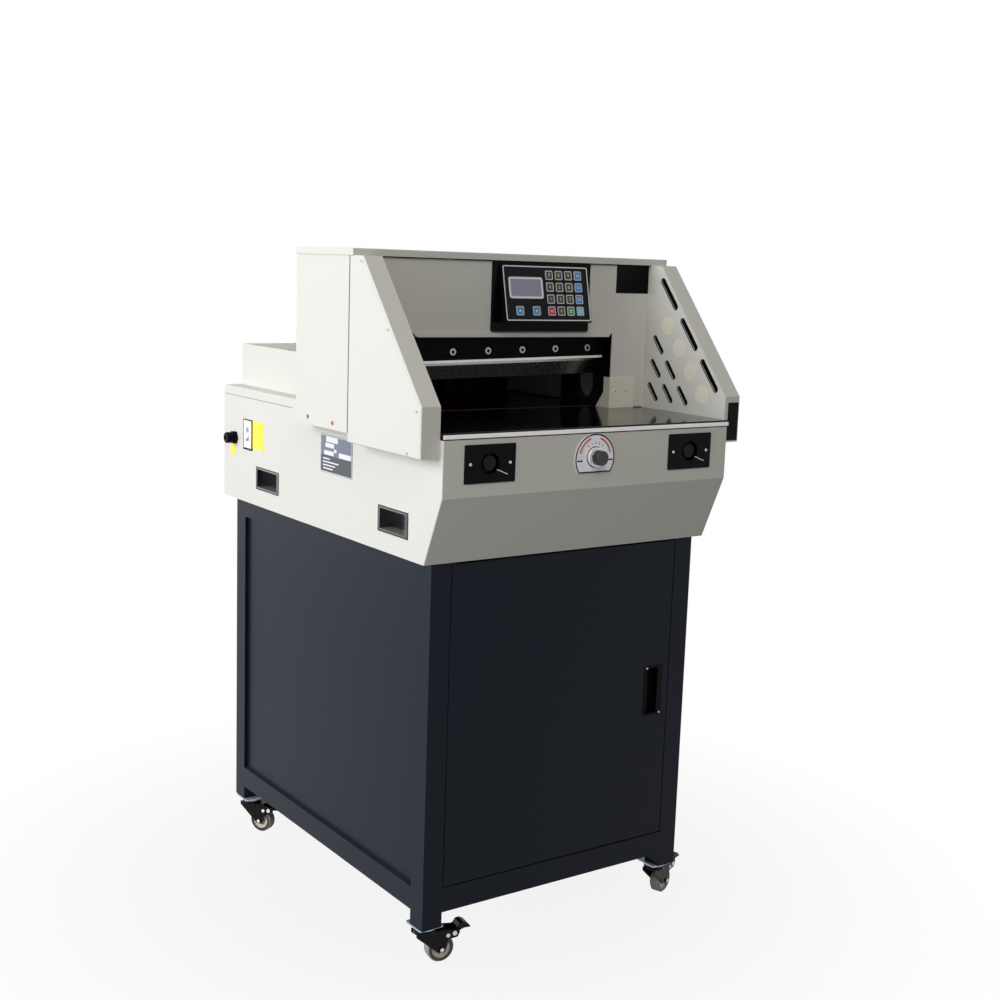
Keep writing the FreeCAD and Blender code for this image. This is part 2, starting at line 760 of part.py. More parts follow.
# ---------------------------------------------------------------- frames and bed
def make_side_frames():
    """Two cast cheeks that hold the crossbeam and stand on the bed."""
    cheeks = []
    for side in (-1, 1):
        low, high = span(side, frame_inner, frame_inner + frame_wall)
        front, rear = fascia_front + fascia_wall, column_rear - sheet_wall
        cheek = Piece("side_frame", node=False)
        cheek.add("YZ", low, frame_wall, polygon(
            (depth(front), frame_bottom), (depth(rear), frame_bottom),
            (depth(rear), guard_shoulder), (depth(beam_rear + frame_wall), guard_top),
            (depth(front), guard_top)))
        cheek.cut("YZ", low - frame_wall, frame_wall * 3,
                  disc(depth(beam_rear + frame_wall), guard_shoulder, frame_hole))
        cheeks.append(cheek)
    half = frame_inner + frame_wall
    floor = base_bottom + shell_wall
    stand = Piece("frame_stand", node=False)
    stand.add("XZ", depth(column_rear - bed_leg - sheet_wall), bed_leg, polygon(
        (-half, floor), (half, floor), (half, frame_bottom), (frame_inner, frame_bottom),
        (frame_inner, frame_bottom - frame_wall), (-frame_inner, frame_bottom - frame_wall),
        (-frame_inner, frame_bottom), (-half, frame_bottom)))
    group("side_frames", *cheeks, stand)


def make_bed():
    """Cast bed under the knife with two legs to the base floor and a slot for the pull rod."""
    leg_half = frame_inner + frame_wall
    floor = base_bottom + shell_wall
    leg = Piece("bed_casting")
    leg.add("XY", frame_bottom, base_top - frame_bottom,
            box(-frame_inner, frame_inner, depth(bed_front), depth(bed_rear)))
    leg.add("XY", floor, frame_bottom - floor,
            box(-leg_half, leg_half, depth(bed_front), depth(bed_front + bed_leg)))
    leg.add("XY", floor, frame_bottom - floor,
            box(frame_inner / 2, leg_half, depth(bed_rear - bed_leg), depth(bed_rear)))
    rod_front = cut_depth - blade_thickness - bar_thickness
    leg.cut("XY", floor - shell_wall, base_top - base_bottom,
            box(-leg_half - shell_wall, -rear_table_half - seat_gap, depth(rod_front - seat_gap * 20),
                depth(cut_depth + crank_thickness)))


# ---------------------------------------------------------------- knife and its drive
def knife_frame(piece):
    """Local frame of the knife: X along the edge, origin in the middle of the edge."""
    return piece.place(-knife_offset, depth(cut_depth), edge_level, Vector(0, -1, 0), knife_tilt)


def make_knife_blade():
    """Ground blade: flat behind, bevelled in front down to the edge."""
    blade = Piece("knife_blade")
    blade.add("YZ", -blade_length / 2, blade_length, polygon(
        (0, 0), (0, blade_height), (-blade_thickness, blade_height),
        (-blade_thickness, blade_bevel)))
    knife_frame(blade)


def make_knife_bar():
    """Bar in front of the blade: bolt counterbores, a lug for the pull rod, seats for pins."""
    rear = -blade_thickness - seat_gap
    front = rear - bar_thickness
    left, right = bar_shift - bar_length / 2, bar_shift + bar_length / 2
    bar = Piece("knife_bar")
    bar.add("XZ", front, bar_thickness, box(left, right, bar_bottom, bar_bottom + bar_height))
    bar.bevel(seat_gap * 10, both(runs_along(ALONG_X), both(near("z", bar_bottom), near("y", front))))
    bolts = [disc(bolt_pitch * (i - 2.5), bolt_level, bolt_head + seat_gap * 4) for i in range(6)]
    bar.cut("XZ", front - seat_gap, bar_thickness / 2, *bolts)
    heads = [disc(bolt_pitch * (i - 2.5), bolt_level, bolt_head) for i in range(6)]
    bar.add("XZ", front + bar_thickness / 6, bar_thickness / 2, *heads)
    bar.cut("XZ", front - seat_gap, bar_thickness * 2,
            disc(-block_spacing / 2, block_level, block_pin + fit_gap * 2),
            box(block_spacing / 2 - block_pin / 2 - seat_gap,
                block_spacing / 2 + block_pin / 2 + seat_gap,
                block_level - block_pin / 2 - seat_gap, block_level + block_pin / 2 + pin_slot))
    eye_x = knife_offset - rod_centre
    bar.cut("XZ", front - seat_gap, bar_thickness * 2,
            disc(eye_x, bar_bottom + rod_eye, rod_pin + fit_gap * 2))
    bar.cut("XZ", front + (bar_thickness - rod_depth) / 2 - seat_gap, rod_depth + seat_gap * 2,
            box(left - seat_gap, eye_x + rod_eye / 2 + seat_gap * 8,
                bar_bottom - seat_gap, bar_bottom + rod_eye * 1.7))
    knife_frame(bar)


def guide_frame(piece, side):
    """Frame of a knife guide: origin on the bar's pin at rest, Z running up the stroke."""
    sine, cosine = trig("sin", knife_tilt), trig("cos", knife_tilt)
    along = block_spacing / 2 * side
    return piece.place(along * cosine - block_level * sine - knife_offset, depth(cut_depth),
                       edge_level + along * sine + block_level * cosine,
                       Vector(0, -1, 0), stroke_angle)


def make_guide_blocks():
    """Two bronze blocks that slide in the slanted guides and carry the bar on their pins."""
    blocks = []
    for side in (-1, 1):
        block = Piece("guide_block", node=False)
        block.add("XZ", -blade_thickness, blade_thickness - seat_gap,
                  box(-block_width / 2, block_width / 2, -block_foot, block_length - block_foot))
        block.add("XZ", -blade_thickness - bar_thickness, bar_thickness,
                  disc(0, 0, block_pin))
        guide_frame(block, side)
        blocks.append(block)
    group("guide_blocks", *blocks)


def make_crossbeam():
    """Cast beam between the cheeks, with slanted guide rails, rod bushes and a nut well."""
    beam = Piece("beam_body", node=False)
    front = depth(cut_depth + seat_gap)
    beam.add("XY", beam_bottom, guard_top - beam_bottom,
             box(-frame_inner, frame_inner, front, depth(beam_rear)))
    clamp_line = depth(cut_depth + clamp_gap + clamp_depth / 2)
    beam.cut("XY", beam_bottom - seat_gap, guard_top, *[
        disc(clamp_rod_spacing / 2 * side, clamp_line, clamp_rod + fit_gap * 2)
        for side in (-1, 1)])
    beam.cut("XY", beam_bottom - seat_gap, guard_top,
             disc(0, clamp_line, clamp_spindle + seat_gap * 4))
    beam.cut("XY", clamp_nut_level, guard_top,
             disc(0, clamp_line, clamp_nut_diameter + seat_gap * 2))
    window = clamp_rod_spacing / 2 - clamp_rod
    rear_cut = frame_wall
    for side in (-1, 1):
        low, high = span(side, clamp_nut_diameter, window)
        beam.cut("XZ", depth(beam_rear) - rear_cut, rear_cut * 2,
                 box(low, high, beam_bottom + frame_wall, guard_top - frame_wall))
    rails = []
    for side in (-1, 1):
        for edge in (-1, 1):
            rail = Piece("guide_rail", node=False)
            near_face = block_width / 2 + fit_gap
            low, high = span(edge, near_face, near_face + rail_width)
            rail.add("XZ", -blade_thickness + seat_gap, blade_thickness,
                     box(low, high, -rail_foot, rail_head))
            guide_frame(rail, side)
            rails.append(rail)
    group("crossbeam", beam, *rails)


def make_pull_rod():
    """Flat rod from the bar down to the crank, with an eye at each end."""
    sine, cosine = trig("sin", knife_tilt), trig("cos", knife_tilt)
    eye_x = knife_offset - rod_centre
    eye_z = bar_bottom + rod_eye
    top_x = eye_x * cosine - eye_z * sine - knife_offset
    top_z = edge_level + eye_z * cosine + eye_x * sine
    middle = cut_depth - blade_thickness - seat_gap - bar_thickness / 2
    start = depth(middle - rod_depth / 2)
    pull = Piece("pull_rod")
    pull.add("XZ", start, rod_depth,
             box(top_x - rod_width / 2, top_x + rod_width / 2, top_z - rod_length, top_z))
    for level in (top_z, top_z - rod_length):
        pull.add("XZ", start, rod_depth, disc(top_x, level, rod_eye))
    pull.cut("XZ", start - seat_gap, rod_depth * 2,
             disc(top_x, top_z - rod_length, crank_pin + seat_gap * 4))
    pull.add("XZ", depth(middle - bar_thickness / 2 + seat_gap), bar_thickness - seat_gap * 2,
             disc(top_x, top_z, rod_pin))
    return top_x, top_z - rod_length


def make_crank(pin_x, pin_z):
    """Crank disc on the reducer's shaft; its short pin stops clear behind the rod's eye."""
    centre_z = pin_z - crank_radius
    rod_rear = cut_depth - blade_thickness - seat_gap - bar_thickness / 2 + rod_depth / 2
    face = rod_rear + crank_thickness / 2
    crank = Piece("crank_disc")
    crank.add("XZ", depth(face), crank_thickness, disc(pin_x, centre_z, crank_diameter))
    crank.add("XZ", depth(rod_rear + seat_gap * 2), crank_thickness / 2,
              disc(pin_x, pin_z, crank_pin))
    crank.add("XZ", depth(face + crank_thickness), crank_thickness * 2,
              disc(pin_x, centre_z, shaft_diameter))
    return pin_x, centre_z, face + crank_thickness + seat_gap * 2


def make_reducer(x, z, front):
    """Cast worm reducer on the base floor, with fins on its sides."""
    half = reducer_width / 2
    floor = base_bottom + shell_wall
    box_top = z + half
    shift = shaft_diameter / 2
    case = Piece("drive_reducer")
    case.add("XY", floor, box_top - floor,
             box(x - half + shift, x + half + shift, depth(front), depth(front + reducer_depth)))
    case.round(shaft_diameter / 4, both(runs_along(ALONG_Y), near("z", box_top)))
    case.add("XY", floor, shell_wall * 3,
             box(x - half + shift, x + half + shift + shaft_diameter / 2,
                 depth(front + shell_wall), depth(front + reducer_depth + shaft_diameter)))
    case.cut("XZ", depth(front - shell_wall), reducer_depth / 2,
             disc(x, z, shaft_diameter + fit_gap * 2))
    return x + half + shift, z, front + reducer_depth / 2


def make_drive_motor(x, z, middle):
    """Finned motor flanged to the reducer, with a terminal box and a fan cowl."""
    fin = motor_length / 20
    base = rod("X", x, depth(middle), z, motor_diameter * 0.88, motor_length)
    fins = [rod("X", x + fin * (3 + i * 1.5), depth(middle), z, motor_diameter, fin * 0.5)
            for i in range(8)]
    flange = rod("X", x, depth(middle), z, motor_diameter, fin)
    cowl = rod("X", x + motor_length * 0.8, depth(middle), z, motor_diameter, motor_length * 0.2)
    terminal = brick((x + motor_length * 0.3, x + motor_length * 0.6),
                     (depth(middle) - motor_diameter / 5, depth(middle) + motor_diameter / 5),
                     (z, z + motor_diameter * 0.53))
    foot = brick((x + motor_length * 0.3, x + motor_length * 0.6),
                 (depth(middle) - motor_diameter / 4, depth(middle) + motor_diameter / 4),
                 (base_bottom + shell_wall, z))
    joined("drive_motor", base, *fins, flange, cowl, terminal, foot)


# ---------------------------------------------------------------- clamp
def make_clamp():
    """Clamp beam behind the knife, with two guide rods and the threaded spindle."""
    front = cut_depth + clamp_gap
    middle = depth(front + clamp_depth / 2)
    top = clamp_bottom + clamp_height
    beam = Piece("clamp_beam")
    beam.add("XY", clamp_bottom, clamp_height,
             box(-clamp_half, clamp_half, depth(front), depth(front + clamp_depth)))
    beam.cut("XZ", depth(front + clamp_depth * 0.6), clamp_depth, *[
        box(-clamp_half + clamp_depth * 0.5, -clamp_depth * 0.5,
            clamp_bottom + clamp_height / 4, top - clamp_height / 4),
        box(clamp_depth * 0.5, clamp_half - clamp_depth * 0.5,
            clamp_bottom + clamp_height / 4, top - clamp_height / 4)])
    beam.add("XY", top - shell_wall, guard_top - top + shell_wall, *[
        disc(clamp_rod_spacing / 2 * side, middle, clamp_rod) for side in (-1, 1)])
    beam.add("XY", top - shell_wall, guard_top - top + shell_wall,
             disc(0, middle, clamp_spindle))


def make_clamp_nut():
    """Driven nut with a toothed belt rim, turning in the well of the crossbeam."""
    middle = depth(cut_depth + clamp_gap + clamp_depth / 2)
    rim = clamp_nut_diameter
    nut = Piece("clamp_nut")
    nut.add("XY", clamp_nut_level + seat_gap, clamp_nut_height, disc(0, middle, rim))
    nut.cut("XY", clamp_nut_level, clamp_nut_height * 2,
            disc(0, middle, clamp_spindle + fit_gap * 2))
    teeth = 16
    notches = [disc(trig("cos", as_dim(360 / teeth * i)) * rim / 2,
                    middle + trig("sin", as_dim(360 / teeth * i)) * rim / 2, rim / 12)
               for i in range(teeth)]
    nut.cut("XY", clamp_nut_level + clamp_nut_height / 2, clamp_nut_height, *notches)


# ---------------------------------------------------------------- back gauge
def make_back_gauge():
    """Comb of fingers on a plate that stands on the table, with its nut below the slot."""
    rise = table_top + seat_gap
    plate_front = gauge_depth + finger_depth
    gauge = Piece("back_gauge")
    gauge.add("XY", rise, gauge_height,
              box(-gauge_half, gauge_half, depth(plate_front), depth(plate_front + gauge_plate)))
    first = finger_pitch * (finger_count - 1) / 2
    gauge.add("XY", rise, finger_height, *[
        box(finger_pitch * i - first - finger_width / 2, finger_pitch * i - first + finger_width / 2,
            depth(gauge_depth), depth(plate_front)) for i in range(finger_count)])
    nut_top = base_top - seat_gap
    half_slot = gauge_slot / 2 - seat_gap
    gauge.add("XY", nut_top - shell_wall, rise - nut_top + shell_wall * 2,
              box(-half_slot, half_slot, depth(plate_front), depth(plate_front + gauge_nut_length)))
    drop = nut_top - screw_level
    gauge.add("XY", screw_level - drop, drop * 2,
              box(-gauge_nut_half, gauge_nut_half, depth(plate_front),
                  depth(plate_front + gauge_nut_length)))
    holes = [disc(slide_rod_spacing / 2 * side, screw_level, slide_rod + fit_gap * 2)
             for side in (-1, 1)]
    gauge.cut("XZ", depth(plate_front - shell_wall), gauge_nut_length * 2, *holes,
              disc(0, screw_level, screw_diameter + fit_gap * 2))


def make_gauge_screw():
    """Lead screw from the bed to the rear bearing, with a collar behind the bearing."""
    start = bed_rear + seat_gap
    screw = Piece("gauge_screw")
    screw.add("XZ", depth(start), bearing_depth - start, disc(0, screw_level, screw_diameter))
    screw.add("XZ", depth(bearing_depth - shell_wall), bearing_thickness + shell_wall * 3,
              disc(0, screw_level, screw_diameter / 2))


def make_gauge_slideway():
    """Rear bearing plate under the table with the two slide rods pressed into it."""
    slideway = Piece("gauge_slideway")
    slideway.add("XZ", depth(bearing_depth), bearing_thickness,
                 box(-gauge_nut_half, gauge_nut_half, screw_level - stepper_size / 2, base_top))
    slideway.cut("XZ", depth(bearing_depth - shell_wall), bearing_thickness * 3,
                 disc(0, screw_level, screw_diameter / 2 + fit_gap * 2))
    slideway.add("XZ", depth(bed_rear), bearing_depth - bed_rear + shell_wall, *[
        disc(slide_rod_spacing / 2 * side, screw_level, slide_rod) for side in (-1, 1)])


def make_gauge_motor():
    """Stepper motor behind the bearing plate, its shaft end hollow for the screw."""
    front = bearing_depth + bearing_thickness
    motor = Piece("gauge_motor")
    motor.add("XZ", depth(front), stepper_length, centred(as_dim(0), screw_level,
                                                          stepper_size, stepper_size))
    motor.bevel(stepper_size / 12, runs_along(ALONG_Y))
    motor.cut("XZ", depth(front - shell_wall), shell_wall * 4,
              disc(0, screw_level, screw_diameter / 2 + fit_gap * 2))


# ---------------------------------------------------------------- controls
def face_frame(piece):
    """Local frame of the sloping control face: X across, Z up the face, -Y out of it."""
    middle = panel_bottom + panel_height / 2 + face_rise
    out = fascia_front - panel_flange * 3 - 1.5
    return piece.place(panel_left + panel_width / 2, depth(out), middle, ALONG_X, -face_angle)


def make_control_housing():
    """Bezel on the fascia with a wedge that leans the keypad back towards the operator."""
    sine, cosine = trig("sin", face_angle), trig("cos", face_angle)
    middle_z = panel_bottom + panel_height / 2 + face_rise
    middle_y = depth(fascia_front - panel_flange * 3 - 1.5)
    half = face_height / 2 + face_border
    left = panel_left + panel_width / 2 - face_width / 2 - face_border
    bezel = depth(fascia_front - panel_flange)
    housing = Piece("control_housing")
    housing.add("XZ", bezel, panel_flange,
                box(panel_left, panel_left + panel_width, panel_bottom, panel_bottom + panel_height))
    housing.round(panel_flange / 2, runs_along(ALONG_Y))
    housing.add("YZ", left, face_width + face_border * 2, polygon(
        (bezel + panel_flange / 2, middle_z - half * cosine - panel_flange / 3),
        (middle_y - half * sine, middle_z - half * cosine),
        (middle_y + half * sine, middle_z + half * cosine),
        (bezel + panel_flange / 2, middle_z + half * cosine)))


def make_control_panel():
    """Keypad plate: raised rim, rounded corners, embossed keys and a well for the window."""
    half_x, half_z = face_width / 2, face_height / 2
    plate = Piece("control_panel")
    plate.add("XZ", -face_thickness - fit_gap, face_thickness,
              box(-half_x, half_x, -half_z, half_z))
    plate.round(face_radius, runs_along(ALONG_Y))
    rim = face_border
    plate.cut("XZ", -face_thickness - fit_gap - rim, rim + face_thickness / 3,
              box(rim - half_x, half_x - rim, rim - half_z, half_z - rim))
    left = face_window_left()
    plate.cut("XZ", -face_thickness - fit_gap - rim, rim + face_thickness * 0.7,
              box(left, left + window_width, face_window_bottom(),
                  face_window_bottom() + window_height))
    keys = [centred(key_column(i), key_row(k), key_size, key_size)
            for i in range(4) for k in range(key_rows)]
    keys += [centred(left + window_width * share, key_row(0), key_size, key_size)
             for share in (0.24, 0.77)]
    plate.add("XZ", -face_thickness * 2 / 3 - fit_gap - key_rise, key_rise + face_thickness / 6,
              *keys)
    face_frame(plate)


def face_window_left():
    return window_inset - face_width / 2


def face_window_bottom():
    return key_row(1) + key_pitch / 6


def key_column(i):
    return face_width / 2 - key_pitch * (3 - i) - key_margin


def key_row(k):
    return key_pitch * (k - 1.5) + face_border * 0.4


def make_display_window():
    """Clear window that drops into its well in the keypad plate."""
    left = face_window_left()
    glass = Piece("display_window")
    glass.add("XZ", -face_thickness * 0.7 - fit_gap, face_thickness * 0.4,
              box(left + fit_gap, left + window_width - fit_gap, face_window_bottom() + fit_gap,
                  face_window_bottom() + window_height - fit_gap))
    face_frame(glass)


def make_button_plate(label, side):
    """Black plate on the apron with a round well that the cut button stands in."""
    x = button_spacing / 2 * side
    plate = Piece(label)
    plate.add("XZ", depth(-button_plate_wall), button_plate_wall,
              centred(x, control_level, button_plate_width, button_plate_height))
    plate.round(button_plate_wall, runs_along(ALONG_Y))
    plate.add("XZ", depth(-button_plate_wall), button_well_depth,
              disc(x, control_level, button_well))
    plate.cut("XZ", depth(-button_plate_wall * 2), button_well_depth,
              disc(x, control_level, button_well - button_plate_wall * 2))
    plate.cut("XZ", depth(-button_plate_wall * 2), button_well_depth * 2,
              disc(x, control_level, button_diameter / 2 + fit_gap * 2))


def make_cut_button(label, side):
    """Domed push button with a stem through the well floor."""
    x = button_spacing / 2 * side
    floor = button_well_depth - button_plate_wall * 2
    button = Piece(label)
    start = floor - button_travel - seat_gap - button_travel
    button.add("XZ", depth(start), button_travel, disc(x, control_level, button_diameter))
    button.round(button_travel / 2, near("y", depth(start)))
    button.add("XZ", depth(start + button_travel), button_travel * 3,
               disc(x, control_level, button_diameter / 2))


def make_dial_plate():
    """Plate behind the trim switch: round with a flat foot, and a raised rim."""
    plate = Piece("trim_dial_plate")
    wall = button_plate_wall
    middle = control_level - dial_drop
    plate.add("XZ", depth(-wall), wall, disc(0, middle, dial_radius * 2))
    plate.cut("XZ", depth(-wall * 2), wall * 4,
              box(-dial_radius, dial_radius, middle - dial_radius * 2,
                  middle - dial_height + dial_radius))
    plate.cut("XZ", depth(-wall * 2), wall * 4,
              disc(0, control_level, collar_diameter * 0.4 + fit_gap * 2))


def make_trim_knob():
    """Black knob with a knurled rim and a bright collar, turning on its spindle."""
    wall = button_plate_wall
    collar = knob_reach * 0.3
    knob = Piece("trim_knob")
    knob.add("XZ", depth(-wall - seat_gap - collar), collar,
             disc(0, control_level, collar_diameter))
    knob.add("XZ", depth(-knob_reach), knob_reach - wall - seat_gap - collar,
             disc(0, control_level, knob_diameter))
    knob.round(collar_diameter / 16, near("y", depth(-knob_reach)))
    knob.add("XZ", depth(-wall - seat_gap), shell_wall * 4,
             disc(0, control_level, collar_diameter * 0.4))
    ribs = 12
    reach = knob_diameter / 2 + knob_diameter / 20
    notches = [disc(trig("cos", as_dim(360 / ribs * i)) * reach,
                    control_level + trig("sin", as_dim(360 / ribs * i)) * reach,
                    knob_diameter / 7) for i in range(ribs)]
    knob.cut("XZ", depth(-knob_reach - wall), knob_reach * 0.7, *notches)


# ---------------------------------------------------------------- side of the base
def make_recess_grips():
    """Four hand cups let into the sides of the base."""
    cups = []
    for side in (-1, 1):
        for centre in (grip_front, grip_rear):
            flange = span(side, half_base, half_base + sheet_wall)
            cup = Piece("recess_grip", node=False)
            cup.add("YZ", flange[0], sheet_wall,
                    centred(depth(centre), grip_level, grip_width + sheet_wall * 4,
                            grip_height + sheet_wall * 4))
            deep = span(side, half_base - grip_depth, half_base)
            cup.add("YZ", deep[0], grip_depth,
                    centred(depth(centre), grip_level, grip_width - seat_gap * 2,
                            grip_height - seat_gap * 2))
            hollow = span(side, half_base - grip_depth + sheet_wall, half_base + sheet_wall * 2)
            cup.cut("YZ", hollow[0], grip_depth + sheet_wall,
                    centred(depth(centre), grip_level, grip_width - sheet_wall * 3,
                            grip_height - sheet_wall * 3))
            cups.append(cup)
    group("recess_grips", *cups)


def make_breaker():
    """Miniature breaker that looks out of the left side, and its rocking toggle."""
    wall = sheet_wall
    x = -half_base
    body = Piece("breaker_body")
    body.add("YZ", x - wall, breaker_depth,
             centred(depth(breaker_centre), breaker_level, breaker_width - seat_gap * 2,
                     breaker_height - seat_gap * 2))
    body.cut("YZ", x - wall * 2, wall * 8,
             centred(depth(breaker_centre), breaker_level, breaker_width / 3,
                     breaker_height / 2))
    toggle = Piece("breaker_toggle")
    pivot = x + wall * 2
    width = breaker_width / 3 - seat_gap * 4
    toggle.add("XZ", depth(breaker_centre) - width / 2, width, disc(pivot, breaker_level, wall * 5))
    toggle.add("XZ", depth(breaker_centre) - width / 2, width, polygon(
        (pivot - wall, breaker_level), (pivot + wall, breaker_level - wall),
        (pivot - wall * 5, breaker_level - breaker_height / 6),
        (pivot - wall * 6, breaker_level - breaker_height / 9)))


def make_cable_gland():
    """Nylon gland for the mains lead: six-sided body, ribbed nut and a bore for the lead."""
    x = -half_base
    y = depth(gland_centre)
    radius = gland_diameter / 2
    corners = [(y + trig("cos", as_dim(60 * i)) * radius,
                gland_level + trig("sin", as_dim(60 * i)) * radius) for i in range(6)]
    gland = Piece("cable_gland")
    gland.add("YZ", x - gland_diameter / 4, gland_diameter / 4, polygon(*corners))
    gland.add("YZ", x - gland_diameter * 0.8, gland_diameter * 0.6, disc(y, gland_level,
                                                                         gland_diameter * 0.8))
    gland.round(gland_diameter / 9, near("x", x - gland_diameter * 0.8))
    gland.add("YZ", x - shell_wall, shell_wall * 4, disc(y, gland_level, gland_diameter * 0.68))
    gland.cut("YZ", x - gland_diameter, gland_diameter * 2, disc(y, gland_level,
                                                                 gland_diameter / 3))


def make_side_fence():
    """Folded side lay: screwed to the fascia, its cheek reaching back into the throat."""
    x = half_throat - fence_wall - seat_gap
    face = fascia_front - fence_wall
    low, high = table_top + seat_gap, table_top + fence_height
    fence = Piece("side_fence")
    fence.add("XZ", depth(face), fence_wall, box(x, x + fence_width, low, high))
    fence.add("YZ", x, fence_wall, polygon(
        (depth(face), low), (depth(face), high), (depth(face + fence_head), high),
        (depth(face + fence_head), low + fence_step), (depth(face + fence_foot), low)))
    fence.cut("XZ", depth(face - fence_wall), fence_wall * 1.4, *[
        disc(x + fence_width * share, table_top + fence_height * 0.55, fence_wall * 3.5)
        for share in (0.22, 0.66)])


# ---------------------------------------------------------------- cabinet
def make_cabinet_frame():
    """Welded frame of square posts with top and bottom rails."""
    low_x, high_x = -half_cabinet, half_cabinet
    front, rear = depth(cabinet_front), depth(cabinet_rear)
    post, wall = post_size, post_wall
    frame = Piece("cabinet_frame")
    corners = [(x, y) for x in (low_x, high_x - post) for y in (front, rear - post)]
    posts = [box(x, x + post, y, y + post) for x, y in corners]
    frame.add("XY", rail_bottom, foot_rail, box(low_x, high_x, front, rear))
    frame.cut("XY", rail_bottom - wall, foot_rail + wall * 2,
              box(low_x + post, high_x - post, front + post / 2, rear - post))
    frame.add("XY", post_bottom, base_bottom - post_bottom, *posts)
    frame.add("XY", base_bottom - post, post,
              box(low_x, high_x, front + door_depth + door_gap, rear))
    frame.cut("XY", base_bottom - post - wall, post + wall * 2,
              box(low_x + post, high_x - post, front + post, rear - post))
    ledge = panel_recess
    frame.cut("YZ", low_x - wall, wall + ledge / 2,
              box(front + post, rear - post, rail_top - wall, rail_top))
    frame.cut("YZ", high_x - ledge / 2, wall + ledge / 2,
              box(front + post, rear - post, rail_top - wall, rail_top))
    add_hinge_pins(frame)


def hinge_axis():
    """X and Y of the door's hinge line, just inside its front left corner."""
    return (door_gap + hinge_inset + post_size - half_cabinet, depth(cabinet_front + hinge_inset))


def add_hinge_pins(frame):
    """Lower pin on the bottom rail; upper pin on a lug that stands out of the left post."""
    x, y = hinge_axis()
    door_top = base_bottom - door_top_gap
    post_edge = post_size - half_cabinet
    front = depth(cabinet_front)
    frame.add("XY", rail_top - post_wall, door_bottom - rail_top + post_wall * 2,
              disc(x, y, hinge_pin))
    frame.add("XY", door_top + seat_gap, post_wall * 2,
              box(post_edge - post_wall, post_edge + hinge_lug, front, front + hinge_lug))
    frame.add("XY", door_top - post_wall, post_wall * 2, disc(x, y, hinge_pin))


def make_cabinet_sides():
    """Two side panels set back between the posts."""
    panels = []
    for side in (-1, 1):
        low, high = span(side, half_cabinet - panel_recess - sheet_wall,
                         half_cabinet - panel_recess)
        panel = Piece("cabinet_side", node=False)
        panel.add("YZ", low, sheet_wall,
                  box(depth(cabinet_front + post_size + seat_gap),
                      depth(cabinet_rear - post_size - seat_gap),
                      rail_top, base_bottom - post_size))
        panels.append(panel)
    group("cabinet_sides", *panels)


def make_cabinet_back():
    """Back panel between the rear posts, with rows of vent slots."""
    half = half_cabinet - post_size - seat_gap
    back = Piece("cabinet_back")
    back.add("XZ", depth(cabinet_rear - panel_recess - sheet_wall), sheet_wall,
             box(-half, half, rail_top, base_bottom - post_size))
    vents = [centred(as_dim(0), base_bottom - post_size * (2 + i * 0.45), post_size * 4, post_size / 8)
             for i in range(6)]
    back.cut("XZ", depth(cabinet_rear - panel_recess - sheet_wall * 2), sheet_wall * 3, *vents)


def make_cabinet_door():
    """Pan-shaped door between the front posts, with a hole for its pull cup."""
    half = half_cabinet - post_size - door_gap
    front = cabinet_front
    low, high = door_bottom, base_bottom - door_top_gap
    door = Piece("cabinet_door")
    door.add("XZ", depth(front), door_depth, box(-half, half, low, high))
    door.round(shell_radius / 2, both(runs_along(ALONG_Z), near("y", depth(front))))
    door.cut("XZ", depth(front + sheet_wall), door_depth,
             box(sheet_wall - half, half - sheet_wall, low + sheet_wall, high - sheet_wall))
    door.cut("XZ", depth(front - sheet_wall), door_depth,
             centred(pull_centre, pull_level, pull_width, pull_height))
    for level in (low, high):
        door.cut("XY", level - sheet_wall * 1.5, sheet_wall * 3,
                 disc(*hinge_axis(), hinge_pin + fit_gap * 2))


def make_door_pull():
    """Flush pull: a flanged cup with a grip bar across one side."""
    flange = sheet_wall
    pull = Piece("door_pull")
    pull.add("XZ", depth(cabinet_front - flange), flange,
             centred(pull_centre, pull_level, pull_width + flange * 3, pull_height + flange * 3))
    pull.round(flange, runs_along(ALONG_Y))
    pull.add("XZ", depth(cabinet_front), door_depth - flange,
             centred(pull_centre, pull_level, pull_width - seat_gap * 2,
                     pull_height - seat_gap * 2))
    pull.cut("XZ", depth(cabinet_front - flange * 2), door_depth - flange,
             centred(pull_centre, pull_level, pull_width - flange * 3, pull_height - flange * 3))
    pull.add("XZ", depth(cabinet_front - flange), flange * 2,
             box(pull_centre + pull_width / 4, pull_centre + pull_width / 2,
                 pull_level - pull_height / 2, pull_level + pull_height / 2))


# ---------------------------------------------------------------- castors
CASTORS = {
    "front_left": (-1, -1, turn_front_left),
    "front_right": (1, -1, turn_front_right),
    "rear_left": (-1, 1, turn_rear_left),
    "rear_right": (1, 1, turn_rear_right),
}
BRAKED = ("front_left", "front_right")


def castor_place(name):
    """Swivel axis of a castor."""
    across, along, _ = CASTORS[name]
    x = (half_cabinet - castor_inset_x) * across
    y = cabinet_front + castor_inset_y if along < 0 else cabinet_rear - castor_inset_y
    return x, depth(y)


def make_castor_plates():
    """Mounting plates with their ball races, one under each post."""
    plates = []
    for name in CASTORS:
        x, y = castor_place(name)
        top = Piece("castor_plate", node=False)
        top.add("XY", post_bottom - castor_plate_wall, castor_plate_wall,
                centred(as_dim(0), as_dim(0), castor_plate, castor_plate))
        top.round(castor_plate / 10, runs_along(ALONG_Z))
        low = post_bottom - castor_plate_wall - race_height
        top.add("XY", low, race_height + castor_plate_wall / 2, disc(0, 0, race_diameter))
        top.bevel(race_height / 3, near("z", low))
        top.cut("XY", low - race_height, race_height * 2 + castor_plate_wall / 2,
                disc(0, 0, axle_diameter + fit_gap * 2))
        top.place(x, y, 0)
        plates.append(top)
    group("castor_plates", *plates)


